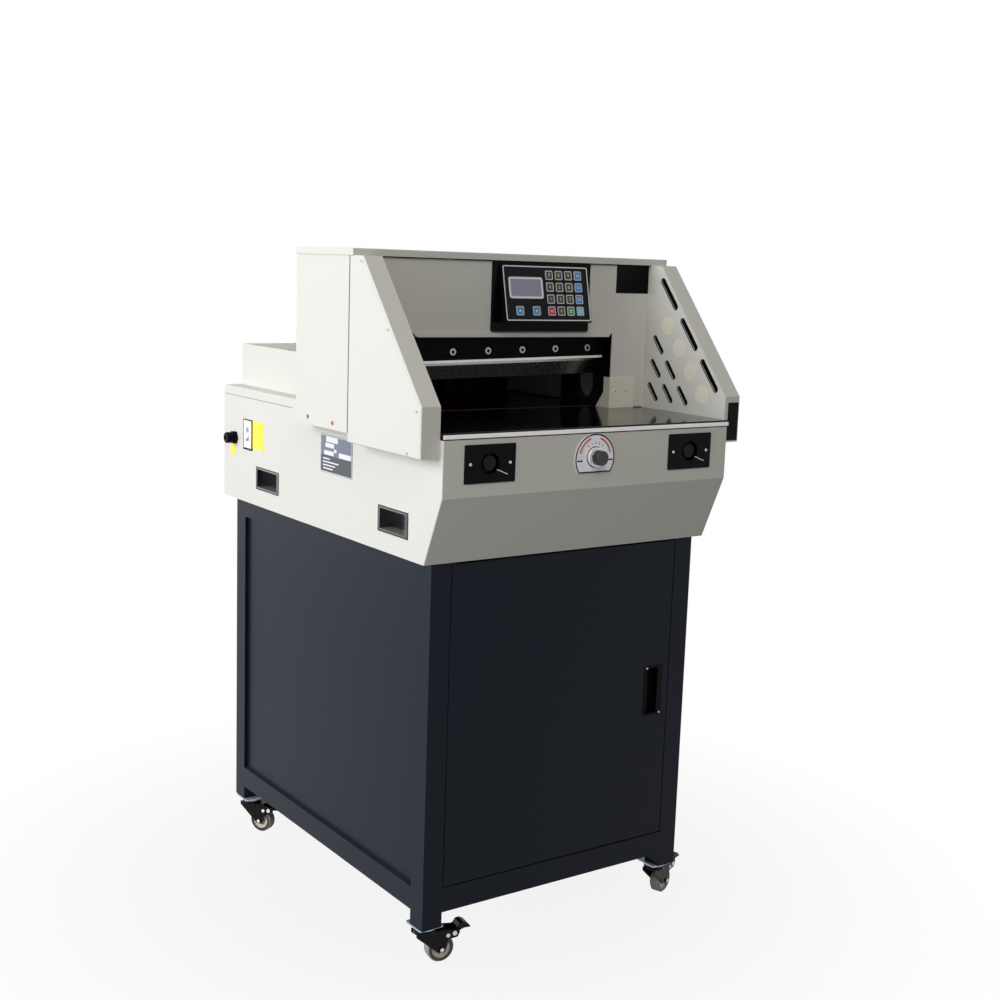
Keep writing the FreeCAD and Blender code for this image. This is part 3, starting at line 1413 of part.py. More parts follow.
def cheek_outline(top):
    """Side view of a fork cheek: down to the axle, then back to a tail that holds the brake."""
    level = wheel_diameter / 2
    foot = axle_diameter * 0.75
    tail = level + trail * 0.68
    return polygon(
        (race_diameter / 2, top), (race_diameter / 2, top - race_height),
        (foot - trail, level - foot), (-trail - foot, level - foot),
        (-trail - foot * 1.7, level + foot * 0.8), (-trail - foot * 2, level + trail * 0.6),
        (axle_diameter / 2 - fork_reach, tail), (-fork_reach, tail + axle_diameter),
        (-fork_reach, top - fork_wall * 1.6), (-trail, top))


def make_castor_fork(name):
    """Pressed fork: crown disc, king pin, and two cheeks that sweep back past the axle."""
    crown = post_bottom - castor_plate_wall - race_height - seat_gap
    wall = fork_wall
    inner = wheel_width / 2 + wall / 2
    fork = Piece("castor_fork_" + name)
    fork.add("XY", crown - wall * 2, wall * 2, disc(0, 0, race_diameter))
    fork.round(wall / 2, near("z", crown))
    fork.add("XY", crown - wall, race_height + wall, disc(0, 0, axle_diameter))
    for side in (-1, 1):
        low, high = span(side, inner, inner + wall)
        fork.add("YZ", low, wall, cheek_outline(crown - wall))
    fork.add("XY", crown - wall * 2, wall,
             box(-inner - wall / 2, inner + wall / 2, -trail - axle_diameter * 0.8,
                 race_diameter * 0.36))
    pin = (inner + wall * 2) * 2
    fork.add("YZ", -inner - wall * 2, pin, disc(-trail, wheel_diameter / 2, axle_diameter))
    if name in BRAKED:
        fork.cut("YZ", -inner - wall * 2, pin, disc(*pedal_pivot(), wall * 1.6 + fit_gap * 2))
    turned(fork, name)


def pedal_pivot():
    """Place of the brake's pin in the tail of the fork."""
    return -trail - pedal_back, pedal_level


def turned(piece, name):
    """Put a castor piece at its swivel, turned to where it trails."""
    x, y = castor_place(name)
    return piece.place(x, y, 0, ALONG_Z, CASTORS[name][2])


def make_castor_wheel(name):
    """Wheel with a rounded tread, dished sides and a raised hub, running on the axle."""
    radius = wheel_diameter / 2
    half = wheel_width / 2
    bore = axle_diameter / 2 + fit_gap
    lip = wheel_width / 8
    outline = polygon(
        (-half, bore), (half, bore), (half, radius * 0.36), (half - lip, radius * 0.42),
        (half - lip, radius * 0.66), (half - lip / 4, radius * 0.72), (half - lip / 4, radius * 0.9),
        (half - lip, radius), (lip - half, radius), (lip / 4 - half, radius * 0.9),
        (lip / 4 - half, radius * 0.72), (lip - half, radius * 0.66),
        (lip - half, radius * 0.42), (-half, radius * 0.36))
    wheel = Piece("castor_wheel_" + name)
    wheel.spin("XY", outline, "H_Axis")
    x, y = castor_place(name)
    turn = CASTORS[name][2]
    wheel.place(x + trig("sin", turn) * trail, y - trig("cos", turn) * trail, radius,
                ALONG_Z, turn)


def make_brake_pedal(name):
    """Beak-shaped foot lever on a pin in the fork's tail; its nose locks the wheel."""
    wall = fork_wall
    reach = pedal_length
    width = wheel_width + wall - seat_gap * 2
    y, z = pedal_pivot()
    pedal = Piece("brake_pedal_" + name)
    pedal.add("YZ", -width / 2, width, polygon(
        (y + wall, z - wall * 3.5), (y - wall, z - wall * 3.5), (y - wall * 2, z - wall * 1.5),
        (y - reach * 0.36, z + wall), (y - reach * 0.65, z + wall * 2.2), (y - reach, z + wall * 2),
        (y - reach, z + wall * 3), (y - reach * 0.8, z + wall * 5.5),
        (y - reach * 0.55, z + wall * 6.8), (y - reach * 0.32, z + wall * 6.2),
        (y - reach * 0.2, z + wall * 3.6), (y + wall * 1.5, z + wall * 1.6)))
    pedal.add("YZ", -width / 2 - wall, width + wall * 2, disc(y, z, wall * 1.6))
    turned(pedal, name)


# ---------------------------------------------------------------- build, check and write
def make_all():
    make_base_shell()
    make_front_trim()
    make_work_table()
    make_cut_stick()
    make_rear_lid()
    make_dust_cover()
    sides("guard", make_guard)
    group("guard_liners", make_guard_liner(-1), make_guard_liner(1))
    sides("column_cover", make_column_cover)
    make_top_cap()
    make_fascia()
    make_head_rear_cover()
    make_side_frames()
    make_bed()
    make_knife_blade()
    make_knife_bar()
    make_guide_blocks()
    make_crossbeam()
    make_drive_motor(*make_reducer(*make_crank(*make_pull_rod())))
    make_clamp()
    make_clamp_nut()
    make_back_gauge()
    make_gauge_screw()
    make_gauge_slideway()
    make_gauge_motor()
    make_control_housing()
    make_control_panel()
    make_display_window()
    sides("button_plate", make_button_plate)
    sides("cut_button", make_cut_button)
    make_dial_plate()
    make_trim_knob()
    make_recess_grips()
    make_breaker()
    make_cable_gland()
    make_side_fence()
    make_cabinet_frame()
    make_cabinet_sides()
    make_cabinet_back()
    make_cabinet_door()
    make_door_pull()
    make_castor_plates()
    for name in CASTORS:
        make_castor_fork(name)
        make_castor_wheel(name)
    for name in BRAKED:
        make_brake_pedal(name)


def check_document():
    """Stop before anything is written if a feature failed or a sub-part is not sound."""
    for thing in doc.Objects:
        if "Invalid" in thing.State or "Error" in thing.State:
            raise RuntimeError(f"{thing.Name} ({thing.Label}) failed: {thing.State}")
    for label, thing in NODES.items():
        if thing.Shape.isNull() or not thing.Shape.isValid():
            raise RuntimeError(f"{label} has no valid shape")
        if not thing.Shape.Solids:
            raise RuntimeError(f"{label} has no solid")


def write_nodes():
    os.makedirs("parts", exist_ok=True)
    for label, thing in NODES.items():
        thing.Shape.exportStep(f"parts/{label}.step")


make_all()
doc.recompute()
check_document()
write_nodes()
print(f"wrote {len(NODES)} nodes")
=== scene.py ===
# %% [markdown]
# # A guillotine paper cutter
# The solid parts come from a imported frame. This file dresses them: paint, ground steel, plastic, keys,
# screws, bare plates and castor trims. Lengths are in metres, Z is up, the operator stands on the -Y
# side. Places are counted from the boxes of the frame's parts, in millimetres where that reads better.

# %% Load the frame
import math

import bmesh
import bpy
from mathutils import Matrix, Vector


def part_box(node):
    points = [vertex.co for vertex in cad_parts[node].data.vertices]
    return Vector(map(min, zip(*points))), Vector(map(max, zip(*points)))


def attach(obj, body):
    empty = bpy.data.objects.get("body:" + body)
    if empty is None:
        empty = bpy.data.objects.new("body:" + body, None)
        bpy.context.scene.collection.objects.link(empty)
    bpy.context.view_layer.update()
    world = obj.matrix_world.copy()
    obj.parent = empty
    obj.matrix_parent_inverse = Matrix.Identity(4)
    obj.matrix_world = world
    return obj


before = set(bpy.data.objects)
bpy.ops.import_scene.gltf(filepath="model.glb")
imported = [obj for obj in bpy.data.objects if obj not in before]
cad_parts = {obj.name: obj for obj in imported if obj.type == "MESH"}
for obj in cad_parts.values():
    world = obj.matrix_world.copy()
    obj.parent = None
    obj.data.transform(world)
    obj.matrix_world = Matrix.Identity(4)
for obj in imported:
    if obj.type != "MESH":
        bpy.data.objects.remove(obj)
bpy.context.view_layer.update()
MM = 0.001

# %% [markdown]
# A few planes and corners place nearly everything: the face of the apron, the table's top, the side of
# the base. They are read once from the boxes of the parts that own them.

# %% Planes that the pieces share
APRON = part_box("base_shell")[0][1]
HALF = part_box("base_shell")[1][0]
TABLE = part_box("work_table")[1][2]
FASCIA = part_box("fascia")[0][1] + 2 * MM
GUARD_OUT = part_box("guard_right")[1][0]
GUARD_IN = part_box("guard_liners")[1][0] - 1.5 * MM
KNOB_LEVEL = sum(corner[2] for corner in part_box("trim_knob")) / 2
PLATE_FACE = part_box("button_plate_left")[0][1]


def depth(millimetres):
    """Y of a plane that lies this far behind the face of the apron."""
    return APRON + millimetres * MM


print("table top", round(TABLE, 4), "apron", round(APRON, 4))

# %% [markdown]
# Colours are written as a paint chart would give them, from 0 to 255, and Blender wants them linear.
# One small function does that for every material below.

# %% A colour from a paint chart


def tone(red, green, blue):
    """A display colour turned into the linear colour that shaders use."""
    def linear(value):
        share = value / 255
        return share / 12.92 if share <= 0.04045 else ((share + 0.055) / 1.055) ** 2.4
    return (linear(red), linear(green), linear(blue), 1.0)


# %% [markdown]
# ## Effects that several finishes share
# Paint, castings, ground steel and moulded plastic all have a grain: only its size, its direction and
# its strength differ. So the grain is one node group with named inputs. A vector scale makes it round
# for paint and long for a grinding mark. A second group lets a little dust settle on faces that look up;
# at full amount, on the floors of the hand cups, it paints a pale highlight instead.

# %% Grain group


def sockets(tree, way, names):
    """Add named sockets to a group; a name that ends in a star is a colour, a plus is a vector."""
    kinds = {"*": "NodeSocketColor", "+": "NodeSocketVector"}
    for name in names:
        kind = kinds.get(name[-1], "NodeSocketFloat")
        tree.interface.new_socket(name.rstrip("*+"), in_out=way, socket_type=kind)


def math_node(tree, operation, first, second):
    """One arithmetic node; each operand is a socket or a number."""
    node = tree.nodes.new("ShaderNodeMath")
    node.operation = operation
    for slot, operand in zip(node.inputs, (first, second)):
        if isinstance(operand, (int, float)):
            slot.default_value = operand
        else:
            tree.links.new(operand, slot)
    return node.outputs[0]


def make_grain_group():
    """Fine pattern on Object coordinates that shifts colour and roughness and gives a height."""
    tree = bpy.data.node_groups.new("surface_grain", "ShaderNodeTree")
    sockets(tree, "INPUT", ["Color*", "Scale+", "Contrast", "Roughness", "Roughness Spread"])
    sockets(tree, "OUTPUT", ["Color*", "Roughness", "Height"])
    entry = tree.nodes.new("NodeGroupInput")
    leave = tree.nodes.new("NodeGroupOutput")
    place = tree.nodes.new("ShaderNodeTexCoord")
    stretch = tree.nodes.new("ShaderNodeVectorMath")
    stretch.operation = "MULTIPLY"
    tree.links.new(place.outputs["Object"], stretch.inputs[0])
    tree.links.new(entry.outputs["Scale"], stretch.inputs[1])
    noise = tree.nodes.new("ShaderNodeTexNoise")
    noise.inputs["Scale"].default_value = 1.0
    noise.inputs["Detail"].default_value = 5.0
    tree.links.new(stretch.outputs[0], noise.inputs["Vector"])
    centred = math_node(tree, "SUBTRACT", noise.outputs["Fac"], 0.5)
    value = math_node(tree, "ADD", math_node(tree, "MULTIPLY", centred, entry.outputs["Contrast"]), 1.0)
    shade = tree.nodes.new("ShaderNodeHueSaturation")
    tree.links.new(entry.outputs["Color"], shade.inputs["Color"])
    tree.links.new(value, shade.inputs["Value"])
    spread = math_node(tree, "MULTIPLY", centred, entry.outputs["Roughness Spread"])
    rough = math_node(tree, "ADD", entry.outputs["Roughness"], spread)
    tree.links.new(shade.outputs["Color"], leave.inputs["Color"])
    tree.links.new(rough, leave.inputs["Roughness"])
    tree.links.new(noise.outputs["Fac"], leave.inputs["Height"])
    return tree


GRAIN = make_grain_group()
print("group:", GRAIN.name)

# %% Group for settled dust and a painted highlight


def make_dust_and_highlight_group():
    """Pale colour on faces that look up, broken by a cloudy pattern: dust at a small amount, a painted
    highlight at full amount.
    """
    tree = bpy.data.node_groups.new("settled_dust_and_painted_highlight", "ShaderNodeTree")
    sockets(tree, "INPUT", ["Color*", "Dust*", "Amount"])
    sockets(tree, "OUTPUT", ["Color*"])
    entry = tree.nodes.new("NodeGroupInput")
    leave = tree.nodes.new("NodeGroupOutput")
    shape = tree.nodes.new("ShaderNodeNewGeometry")
    split = tree.nodes.new("ShaderNodeSeparateXYZ")
    tree.links.new(shape.outputs["Normal"], split.inputs[0])
    place = tree.nodes.new("ShaderNodeTexCoord")
    cloud = tree.nodes.new("ShaderNodeTexNoise")
    cloud.inputs["Scale"].default_value = 9.0
    cloud.inputs["Detail"].default_value = 6.0
    tree.links.new(place.outputs["Object"], cloud.inputs["Vector"])
    upward = math_node(tree, "MAXIMUM", split.outputs["Z"], 0.0)
    patchy = math_node(tree, "MULTIPLY", upward, cloud.outputs["Fac"])
    amount = math_node(tree, "MULTIPLY", patchy, entry.outputs["Amount"])
    mix = tree.nodes.new("ShaderNodeMix")
    mix.data_type = "RGBA"
    tree.links.new(amount, mix.inputs["Factor"])
    tree.links.new(entry.outputs["Color"], mix.inputs[6])
    tree.links.new(entry.outputs["Dust"], mix.inputs[7])
    tree.links.new(mix.outputs[2], leave.inputs["Color"])
    return tree


DUST_AND_HIGHLIGHT = make_dust_and_highlight_group()
print("group:", DUST_AND_HIGHLIGHT.name)

# %% [markdown]
# ## Finishes
# Each material is a Principled shader with the grain group in front of it. The helper wires the group
# to colour, roughness and bump, and the finish itself is only its values.

# %% One way to make a finish


def finish(name, color, roughness, scale=(400, 400, 400), contrast=0.08, spread=0.1,
           bump=0.1, metallic=0.0, coat=0.0, dust=0.0, gloss=0.5):
    """A Principled material whose colour, roughness and bump carry the grain of its surface."""
    material = bpy.data.materials.new(name)
    material.use_nodes = True
    tree = material.node_tree
    shader = tree.nodes["Principled BSDF"]
    shader.inputs["Metallic"].default_value = metallic
    shader.inputs["Coat Weight"].default_value = coat
    shader.inputs["Coat Roughness"].default_value = 0.12
    shader.inputs["Specular IOR Level"].default_value = gloss
    grain = tree.nodes.new("ShaderNodeGroup")
    grain.node_tree = GRAIN
    grain.inputs["Color"].default_value = color
    grain.inputs["Scale"].default_value = scale
    grain.inputs["Contrast"].default_value = contrast
    grain.inputs["Roughness"].default_value = roughness
    grain.inputs["Roughness Spread"].default_value = spread
    painted = grain.outputs["Color"]
    # At full amount, as on the hand cups, this layer is no dust but a painted highlight on faces that look
    # up.
    if dust:
        layer = tree.nodes.new("ShaderNodeGroup")
        layer.node_tree = DUST_AND_HIGHLIGHT
        layer.inputs["Dust"].default_value = tone(205, 203, 196)
        layer.inputs["Amount"].default_value = dust
        tree.links.new(painted, layer.inputs["Color"])
        painted = layer.outputs["Color"]
    tree.links.new(painted, shader.inputs["Base Color"])
    tree.links.new(grain.outputs["Roughness"], shader.inputs["Roughness"])
    relief = tree.nodes.new("ShaderNodeBump")
    relief.inputs["Strength"].default_value = bump
    relief.inputs["Distance"].default_value = 0.2 * MM
    tree.links.new(grain.outputs["Height"], relief.inputs["Height"])
    tree.links.new(relief.outputs["Normal"], shader.inputs["Normal"])
    return material


# %% [markdown]
# Some solids have two colours: a red line on the cutting stick, a bright collar on the knob, painted
# shade inside the columns. The solid isn't cut for that. A mask, worked out from where a point lies or
# where its face looks, mixes the second colour over the first.

# %% A second colour by a mask


def axis_of(tree, kind, output, axis):
    """One axis of a texture coordinate or of a geometry vector."""
    source = tree.nodes.new(kind)
    split = tree.nodes.new("ShaderNodeSeparateXYZ")
    tree.links.new(source.outputs[output], split.inputs[0])
    return split.outputs[axis]


def paint_over(material, mask, color):
    """Mix a second colour over the finish wherever the mask is one."""
    tree = material.node_tree
    base = tree.nodes["Principled BSDF"].inputs["Base Color"]
    mix = tree.nodes.new("ShaderNodeMix")
    mix.data_type = "RGBA"
    mix.inputs[7].default_value = color
    tree.links.new(base.links[0].from_socket, mix.inputs[6])
    tree.links.new(mask, mix.inputs["Factor"])
    tree.links.new(mix.outputs[2], base)
    return material


# %% [markdown]
# The housing is folded sheet with a powder coat: warm light grey, a fine orange peel, no gloss to speak
# of. The cabinet has the same coat in a dark slate blue with more shine, which is why its lit side looks
# so much paler than its front.

# %% Paints
POWDER_COAT = dict(color=tone(214, 213, 205), roughness=0.62, scale=(900, 900, 900),
                   contrast=0.03, spread=0.08, bump=0.12, dust=0.05, gloss=0.16)
CREAM = finish("cream_powder_coat", **POWDER_COAT)
SLATE = finish("slate_powder_coat", tone(19, 25, 37), 0.34, (800, 800, 800), 0.1, 0.1, 0.14,
               dust=0.04, gloss=0.1)
FOLD_SHADE = finish("shaded_fold", tone(186, 182, 174), 0.5, (900, 900, 900), 0.03, 0.08, 0.1)
# A lighter copy of the cream coat: on the side lay the lift is painted light for its lit face; the guard
# discs share the colour.
FENCE_CREAM = finish("fence_cream_painted_light", tone(232, 226, 210), 0.45, (900, 900, 900), 0.03, 0.08, 0.1)
CASTOR_BLACK = finish("castor_black", tone(12, 12, 14), 0.28, (300, 300, 300), 0.15, 0.1, 0.08,
                      gloss=0.12)
BAR_BLACK = finish("knife_bar_enamel", tone(7, 7, 8), 0.3, (260, 260, 260), 0.2, 0.12, 0.15, gloss=0.03)
CASTING_GREY = finish("casting_enamel", tone(26, 27, 29), 0.5, (180, 180, 180), 0.2, 0.15, 0.35,
                      dust=0.04, gloss=0.08)
MOTOR_BLUE = finish("motor_enamel", tone(84, 92, 106), 0.45, (220, 220, 220), 0.15, 0.1, 0.3)
print("paints:", CREAM.name, SLATE.name, CASTOR_BLACK.name)

# %% [markdown]
# Ground steel has long marks in the direction of grinding, so its grain is stretched: the scale is small
# along the marks and large across them. The table is ground and blacked, and reflects like a pond.

# %% Metals
TABLE_STEEL = finish("blacked_table_steel", tone(34, 34, 36), 0.1, (6, 500, 500), 0.25, 0.05, 0.02,
                     metallic=0.9)
# Nearly white and hardly metallic: painted reflection on the trim along the table and a painted highlight
# on the knife bar.
BRIGHT_PAINTED_REFLECTION = finish("bright_strip_painted_reflection", tone(250, 246, 246), 0.24, (8, 600, 600), 0.12, 0.1, 0.05,
                metallic=0.2)
BLADE_STEEL = finish("ground_blade_steel", tone(150, 148, 144), 0.26, (500, 500, 8), 0.25, 0.12, 0.06,
                     metallic=1.0)
ZINC_PLATE = finish("castor_plate_zinc", tone(176, 190, 212), 0.3, (300, 300, 300), 0.2, 0.12, 0.1,
                    metallic=0.5)
MACHINED = finish("machined_steel", tone(140, 142, 146), 0.3, (300, 300, 300), 0.2, 0.12, 0.1,
                  metallic=1.0)
BRONZE = finish("bearing_bronze", tone(170, 132, 78), 0.32, (300, 300, 300), 0.2, 0.12, 0.1,
                metallic=1.0)
SCREW_ZINC = finish("zinc_screw", tone(238, 238, 236), 0.3, (900, 900, 900), 0.15, 0.12, 0.1,
                    metallic=0.35)
SCREW_BRASS = finish("brass_screw", tone(150, 96, 48), 0.32, (900, 900, 900), 0.25, 0.12, 0.1,
                     metallic=1.0)
DIAL_ALUMINIUM = finish("dial_aluminium", tone(240, 238, 246), 0.36, (12, 500, 500), 0.06, 0.1, 0.05,
                        metallic=0.1)
print("metals:", TABLE_STEEL.name, BRIGHT_PAINTED_REFLECTION.name, BLADE_STEEL.name)

# %% [markdown]
# Moulded plastic has a soft spark-eroded grain. Printed foils on the keypad are almost flat, with only a
# hint of texture under the colour.

# %% Plastics and printed foils
# Black moulding is most plastic parts; behind the guard slots, in the seams beside the guards and in the
# breaker frame's wider band it is painted shade.
BLACK_PLASTIC_AND_PAINTED_SHADE = finish("black_moulding_and_painted_shade", tone(8, 8, 10), 0.3, (700, 700, 700), 0.2, 0.12, 0.12,
                       gloss=0.06)
# The hand cups take the dust layer at full amount: a painted highlight, pale on their floors against the
# glossy black.
CUP_PLASTIC_PAINTED_HIGHLIGHT = finish("glossy_cup_moulding_painted_highlight", tone(14, 16, 22), 0.2, (500, 500, 500), 0.2, 0.1, 0.08,
                     coat=1.0, dust=1.0)
PANEL_FOIL = finish("keypad_foil", tone(16, 19, 27), 0.3, (500, 500, 500), 0.1, 0.08, 0.06, gloss=0.1)
# White print is printing on the keypad; on the cap's fold and the side lay's folds it is a painted
# highlight.
WHITE_PRINT_AND_PAINTED_HIGHLIGHT = finish("white_print_and_painted_highlight", tone(226, 226, 224), 0.42, (600, 600, 600), 0.04, 0.06, 0.04)
KEY_GREY = finish("key_rim_print", tone(196, 196, 196), 0.42, (600, 600, 600), 0.05, 0.06, 0.06)
KEY_DARK = finish("key_dark_print", tone(44, 45, 44), 0.42, (600, 600, 600), 0.1, 0.06, 0.08)
KEY_BLUE = finish("key_blue_print", tone(30, 142, 205), 0.4, (600, 600, 600), 0.06, 0.06, 0.08)
KEY_PALE = finish("key_pale_blue_print", tone(130, 196, 226), 0.4, (600, 600, 600), 0.06, 0.06, 0.08)
KEY_RED = finish("key_red_print", tone(190, 26, 34), 0.4, (600, 600, 600), 0.06, 0.06, 0.08)
KEY_GREEN = finish("key_green_print", tone(20, 140, 92), 0.4, (600, 600, 600), 0.06, 0.06, 0.08)
YELLOW_PRINT = finish("yellow_print", tone(246, 224, 48), 0.45, (500, 500, 500), 0.05, 0.06, 0.05)
ORANGE_PRINT = finish("orange_print", tone(214, 110, 26), 0.45, (500, 500, 500), 0.06, 0.06, 0.05)
# Black print marks the dial; elsewhere it is painted shade: screw crosses, bolt sockets, the shadow under
# the cap's lip and beside the side lay.
BLACK_PRINT_AND_PAINTED_SHADE = finish("black_print_and_painted_shade", tone(7, 7, 8), 0.4, (500, 500, 500), 0.1, 0.06, 0.05, gloss=0.06)
# Slate print colours the data plate; under the rear lid it is a painted shadow.
PLATE_PRINT_AND_PAINTED_SHADOW = finish("slate_plate_print_and_painted_shadow", tone(92, 97, 116), 0.38, (500, 500, 500), 0.08, 0.08, 0.05)
PLATE_DARK = finish("dark_plate_print", tone(30, 31, 42), 0.38, (500, 500, 500), 0.08, 0.08, 0.05)
# Pale foil makes the data plate's blank fields; beside the cut buttons it is a painted highlight.
LABEL_FOIL_AND_PAINTED_HIGHLIGHT = finish("pale_label_foil_and_painted_highlight", tone(226, 225, 224), 0.45, (500, 500, 500), 0.04, 0.06, 0.04)
SCREEN = finish("screen_crystal", tone(120, 120, 146), 0.2, (300, 300, 300), 0.12, 0.06, 0.02,
                coat=1.0)
BUTTON_FACE = finish("button_face", tone(22, 20, 12), 0.28, (500, 500, 500), 0.1, 0.08, 0.06, gloss=0.1)
BREAKER_WHITE = finish("breaker_moulding", tone(232, 232, 228), 0.4, (500, 500, 500), 0.03, 0.06, 0.08)
TREAD = finish("grey_tread_rubber", tone(150, 148, 142), 0.7, (500, 60, 500), 0.15, 0.1, 0.3)
SIDEWALL = finish("black_wheel_side", tone(16, 16, 17), 0.35, (400, 400, 400), 0.15, 0.1, 0.1)
WHEEL_DISH = finish("cream_wheel_dish", tone(214, 200, 176), 0.35, (300, 300, 300), 0.1, 0.1, 0.08)
print("plastics and prints:", len(bpy.data.materials), "materials so far")

# %% [markdown]
# The cutting stick is a square bar of dark plastic with a thin red line under the knife's edge. How far
# a point lies from the middle of the stick says whether it is on that line.

# %% Cutting stick
LINE_HALF_WIDTH = 1.4 * MM


def cutting_stick_finish():
    """Dark plastic with a red cutting line along its middle."""
    material = finish("cutting_stick", tone(34, 30, 32), 0.4, (20, 500, 500), 0.2, 0.1, 0.1)
    tree = material.node_tree
    low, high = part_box("cut_stick")
    across = axis_of(tree, "ShaderNodeTexCoord", "Object", "Y")
    offset = math_node(tree, "SUBTRACT", across, (low[1] + high[1]) / 2)
    distance = math_node(tree, "ABSOLUTE", offset, 0.0)
    on_line = math_node(tree, "LESS_THAN", distance, LINE_HALF_WIDTH)
    return paint_over(material, on_line, tone(170, 14, 24))


STICK = cutting_stick_finish()
print("special finish:", STICK.name)

# %% [markdown]
# The knob is one solid with two looks: a bright collar against the plate and a black grip in front of
# it. A step along Y chooses between them, so the solid need not be cut in two.

# %% Knob finish
COLLAR_START = depth(-9.6)


def knob_finish():
    """Bright collar at the back, black grip in front."""
    material = finish("knob_grip_and_collar", tone(20, 20, 22), 0.3, (500, 500, 500), 0.15, 0.1, 0.1)
    tree = material.node_tree
    along = axis_of(tree, "ShaderNodeTexCoord", "Object", "Y")
    behind = math_node(tree, "GREATER_THAN", along, COLLAR_START)
    metallic = tree.nodes["Principled BSDF"].inputs["Metallic"]
    tree.links.new(math_node(tree, "MULTIPLY", behind, 0.3), metallic)
    return paint_over(material, behind, tone(244, 242, 244))


KNOB = knob_finish()
print("knob finish:", KNOB.name)

# %% [markdown]
# The column covers are powder coated outside. Their inner faces get a dark colour, painted shade for the
# inside of the columns, which is what shows through the holes of the side frames. A face is inside when
# its normal points back at the middle of the machine.

# %% Column finish


def column_finish_and_painted_shade():
    """Powder coat outside, painted shade on the faces that look inwards."""
    material = finish("column_coat_and_painted_shade", **POWDER_COAT)
    tree = material.node_tree
    place = axis_of(tree, "ShaderNodeTexCoord", "Object", "X")
    outwards = axis_of(tree, "ShaderNodeNewGeometry", "True Normal", "X")
    # Faces that look back at the middle get the painted shade.
    inwards = math_node(tree, "LESS_THAN", math_node(tree, "MULTIPLY", place, outwards), -0.05)
    return paint_over(material, inwards, tone(24, 24, 25))


COLUMN_CREAM_AND_PAINTED_SHADE = column_finish_and_painted_shade()
print("column finish:", COLUMN_CREAM_AND_PAINTED_SHADE.name)

# %% [markdown]
# ## Dressing the solids
# A solid from the frame keeps its shape and gets its finish in its material slots. The table below says
# which finish goes on which node.

# %% Finish of each node
FINISHES = {
    CREAM: ["base_shell", "rear_lid", "dust_cover", "guard_left", "guard_right", "guard_liners",
            "top_cap", "fascia", "head_rear_cover"],
    FENCE_CREAM: ["side_fence"],
    COLUMN_CREAM_AND_PAINTED_SHADE: ["column_cover_left", "column_cover_right"],
    SLATE: ["cabinet_frame", "cabinet_sides", "cabinet_back", "cabinet_door"],
    TABLE_STEEL: ["work_table"],
    BRIGHT_PAINTED_REFLECTION: ["front_trim"],
    STICK: ["cut_stick"],
    BLADE_STEEL: ["knife_blade"],
    BAR_BLACK: ["knife_bar"],
    CASTING_GREY: ["side_frames", "bed_casting", "crossbeam", "drive_reducer", "clamp_beam",
                   "back_gauge"],
    BRONZE: ["guide_blocks", "clamp_nut"],
    MACHINED: ["pull_rod", "crank_disc", "gauge_screw", "gauge_slideway"],
    MOTOR_BLUE: ["drive_motor", "gauge_motor"],
    BLACK_PLASTIC_AND_PAINTED_SHADE: ["control_housing", "button_plate_left", "button_plate_right",
                    "door_pull", "cable_gland"],
    CUP_PLASTIC_PAINTED_HIGHLIGHT: ["recess_grips"],
    PANEL_FOIL: ["control_panel"],
    SCREEN: ["display_window"],
    BUTTON_FACE: ["cut_button_left", "cut_button_right"],
    KNOB: ["trim_knob"],
    DIAL_ALUMINIUM: ["trim_dial_plate"],
    BREAKER_WHITE: ["breaker_body", "breaker_toggle"],
    CASTOR_BLACK: [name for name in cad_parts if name.startswith(("castor_fork", "brake_pedal"))],
    ZINC_PLATE: ["castor_plates"],
    TREAD: [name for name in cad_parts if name.startswith("castor_wheel")],
}
for material, names in FINISHES.items():
    for name in names:
        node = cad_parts[name]
        node.data.materials.clear()
        node.data.materials.append(material)
dressed = {name for names in FINISHES.values() for name in names}
print("dressed", len(dressed), "of", len(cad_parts), "left:", set(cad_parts) - dressed)

# %% [markdown]
# ## Making new pieces
# Most of the small pieces are flat things on a face: a plate, a frame round a key, a screw head. So each
# is drawn in a flat workplace, x to the right, y up, z out of the face, and then carried to its face by a
# matrix. The matrix is applied to the mesh, and the object itself stays at the origin.

# %% Workplaces and meshes


def facing(origin, right, up):
    """Matrix that carries the flat workplace to a face: x along right, y along up, z out of it."""
    across, upward = Vector(right).normalized(), Vector(up).normalized()
    matrix = Matrix((across, upward, across.cross(upward))).transposed().to_4x4()
    matrix.translation = Vector(origin)
    return matrix


def front_face(x, y, z):
    return facing((x, y, z), (1, 0, 0), (0, 0, 1))


def left_face(x, y, z):
    return facing((x, y, z), (0, -1, 0), (0, 0, 1))


def right_face(x, y, z):
    return facing((x, y, z), (0, 1, 0), (0, 0, 1))


def top_face(x, y, z):
    return facing((x, y, z), (1, 0, 0), (0, 1, 0))


def add_piece(name, mesh, material, body):
    """Turn a bmesh into an object that rides on a body and carries the given material."""
    bmesh.ops.remove_doubles(mesh, verts=mesh.verts, dist=1e-6)
    bmesh.ops.recalc_face_normals(mesh, faces=mesh.faces)
    data = bpy.data.meshes.new(name)
    mesh.to_mesh(data)
    mesh.free()
    data.materials.append(material)
    piece = bpy.data.objects.new(name, data)
    bpy.context.collection.objects.link(piece)
    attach(piece, body)
    return piece


print("workplaces: front, left, right and top")

# %% [markdown]
# Five flat shapes do most of the work: a plate with round corners, the same plate with its middle taken
# out, a round head with a softened rim, a whole ring and part of one. Each starts in a small mesh of its
# own, so bevel, inset, extrude and spin see nothing else, and is then merged into the mesh of the piece.

# %% Flat shapes


def merge_into(mesh, part, matrix):
    """Carry a finished part to its place and add it to the mesh of the piece."""
    part.transform(matrix)
    data = bpy.data.meshes.new("part")
    part.to_mesh(data)
    part.free()
    mesh.from_mesh(data)
    bpy.data.meshes.remove(data)


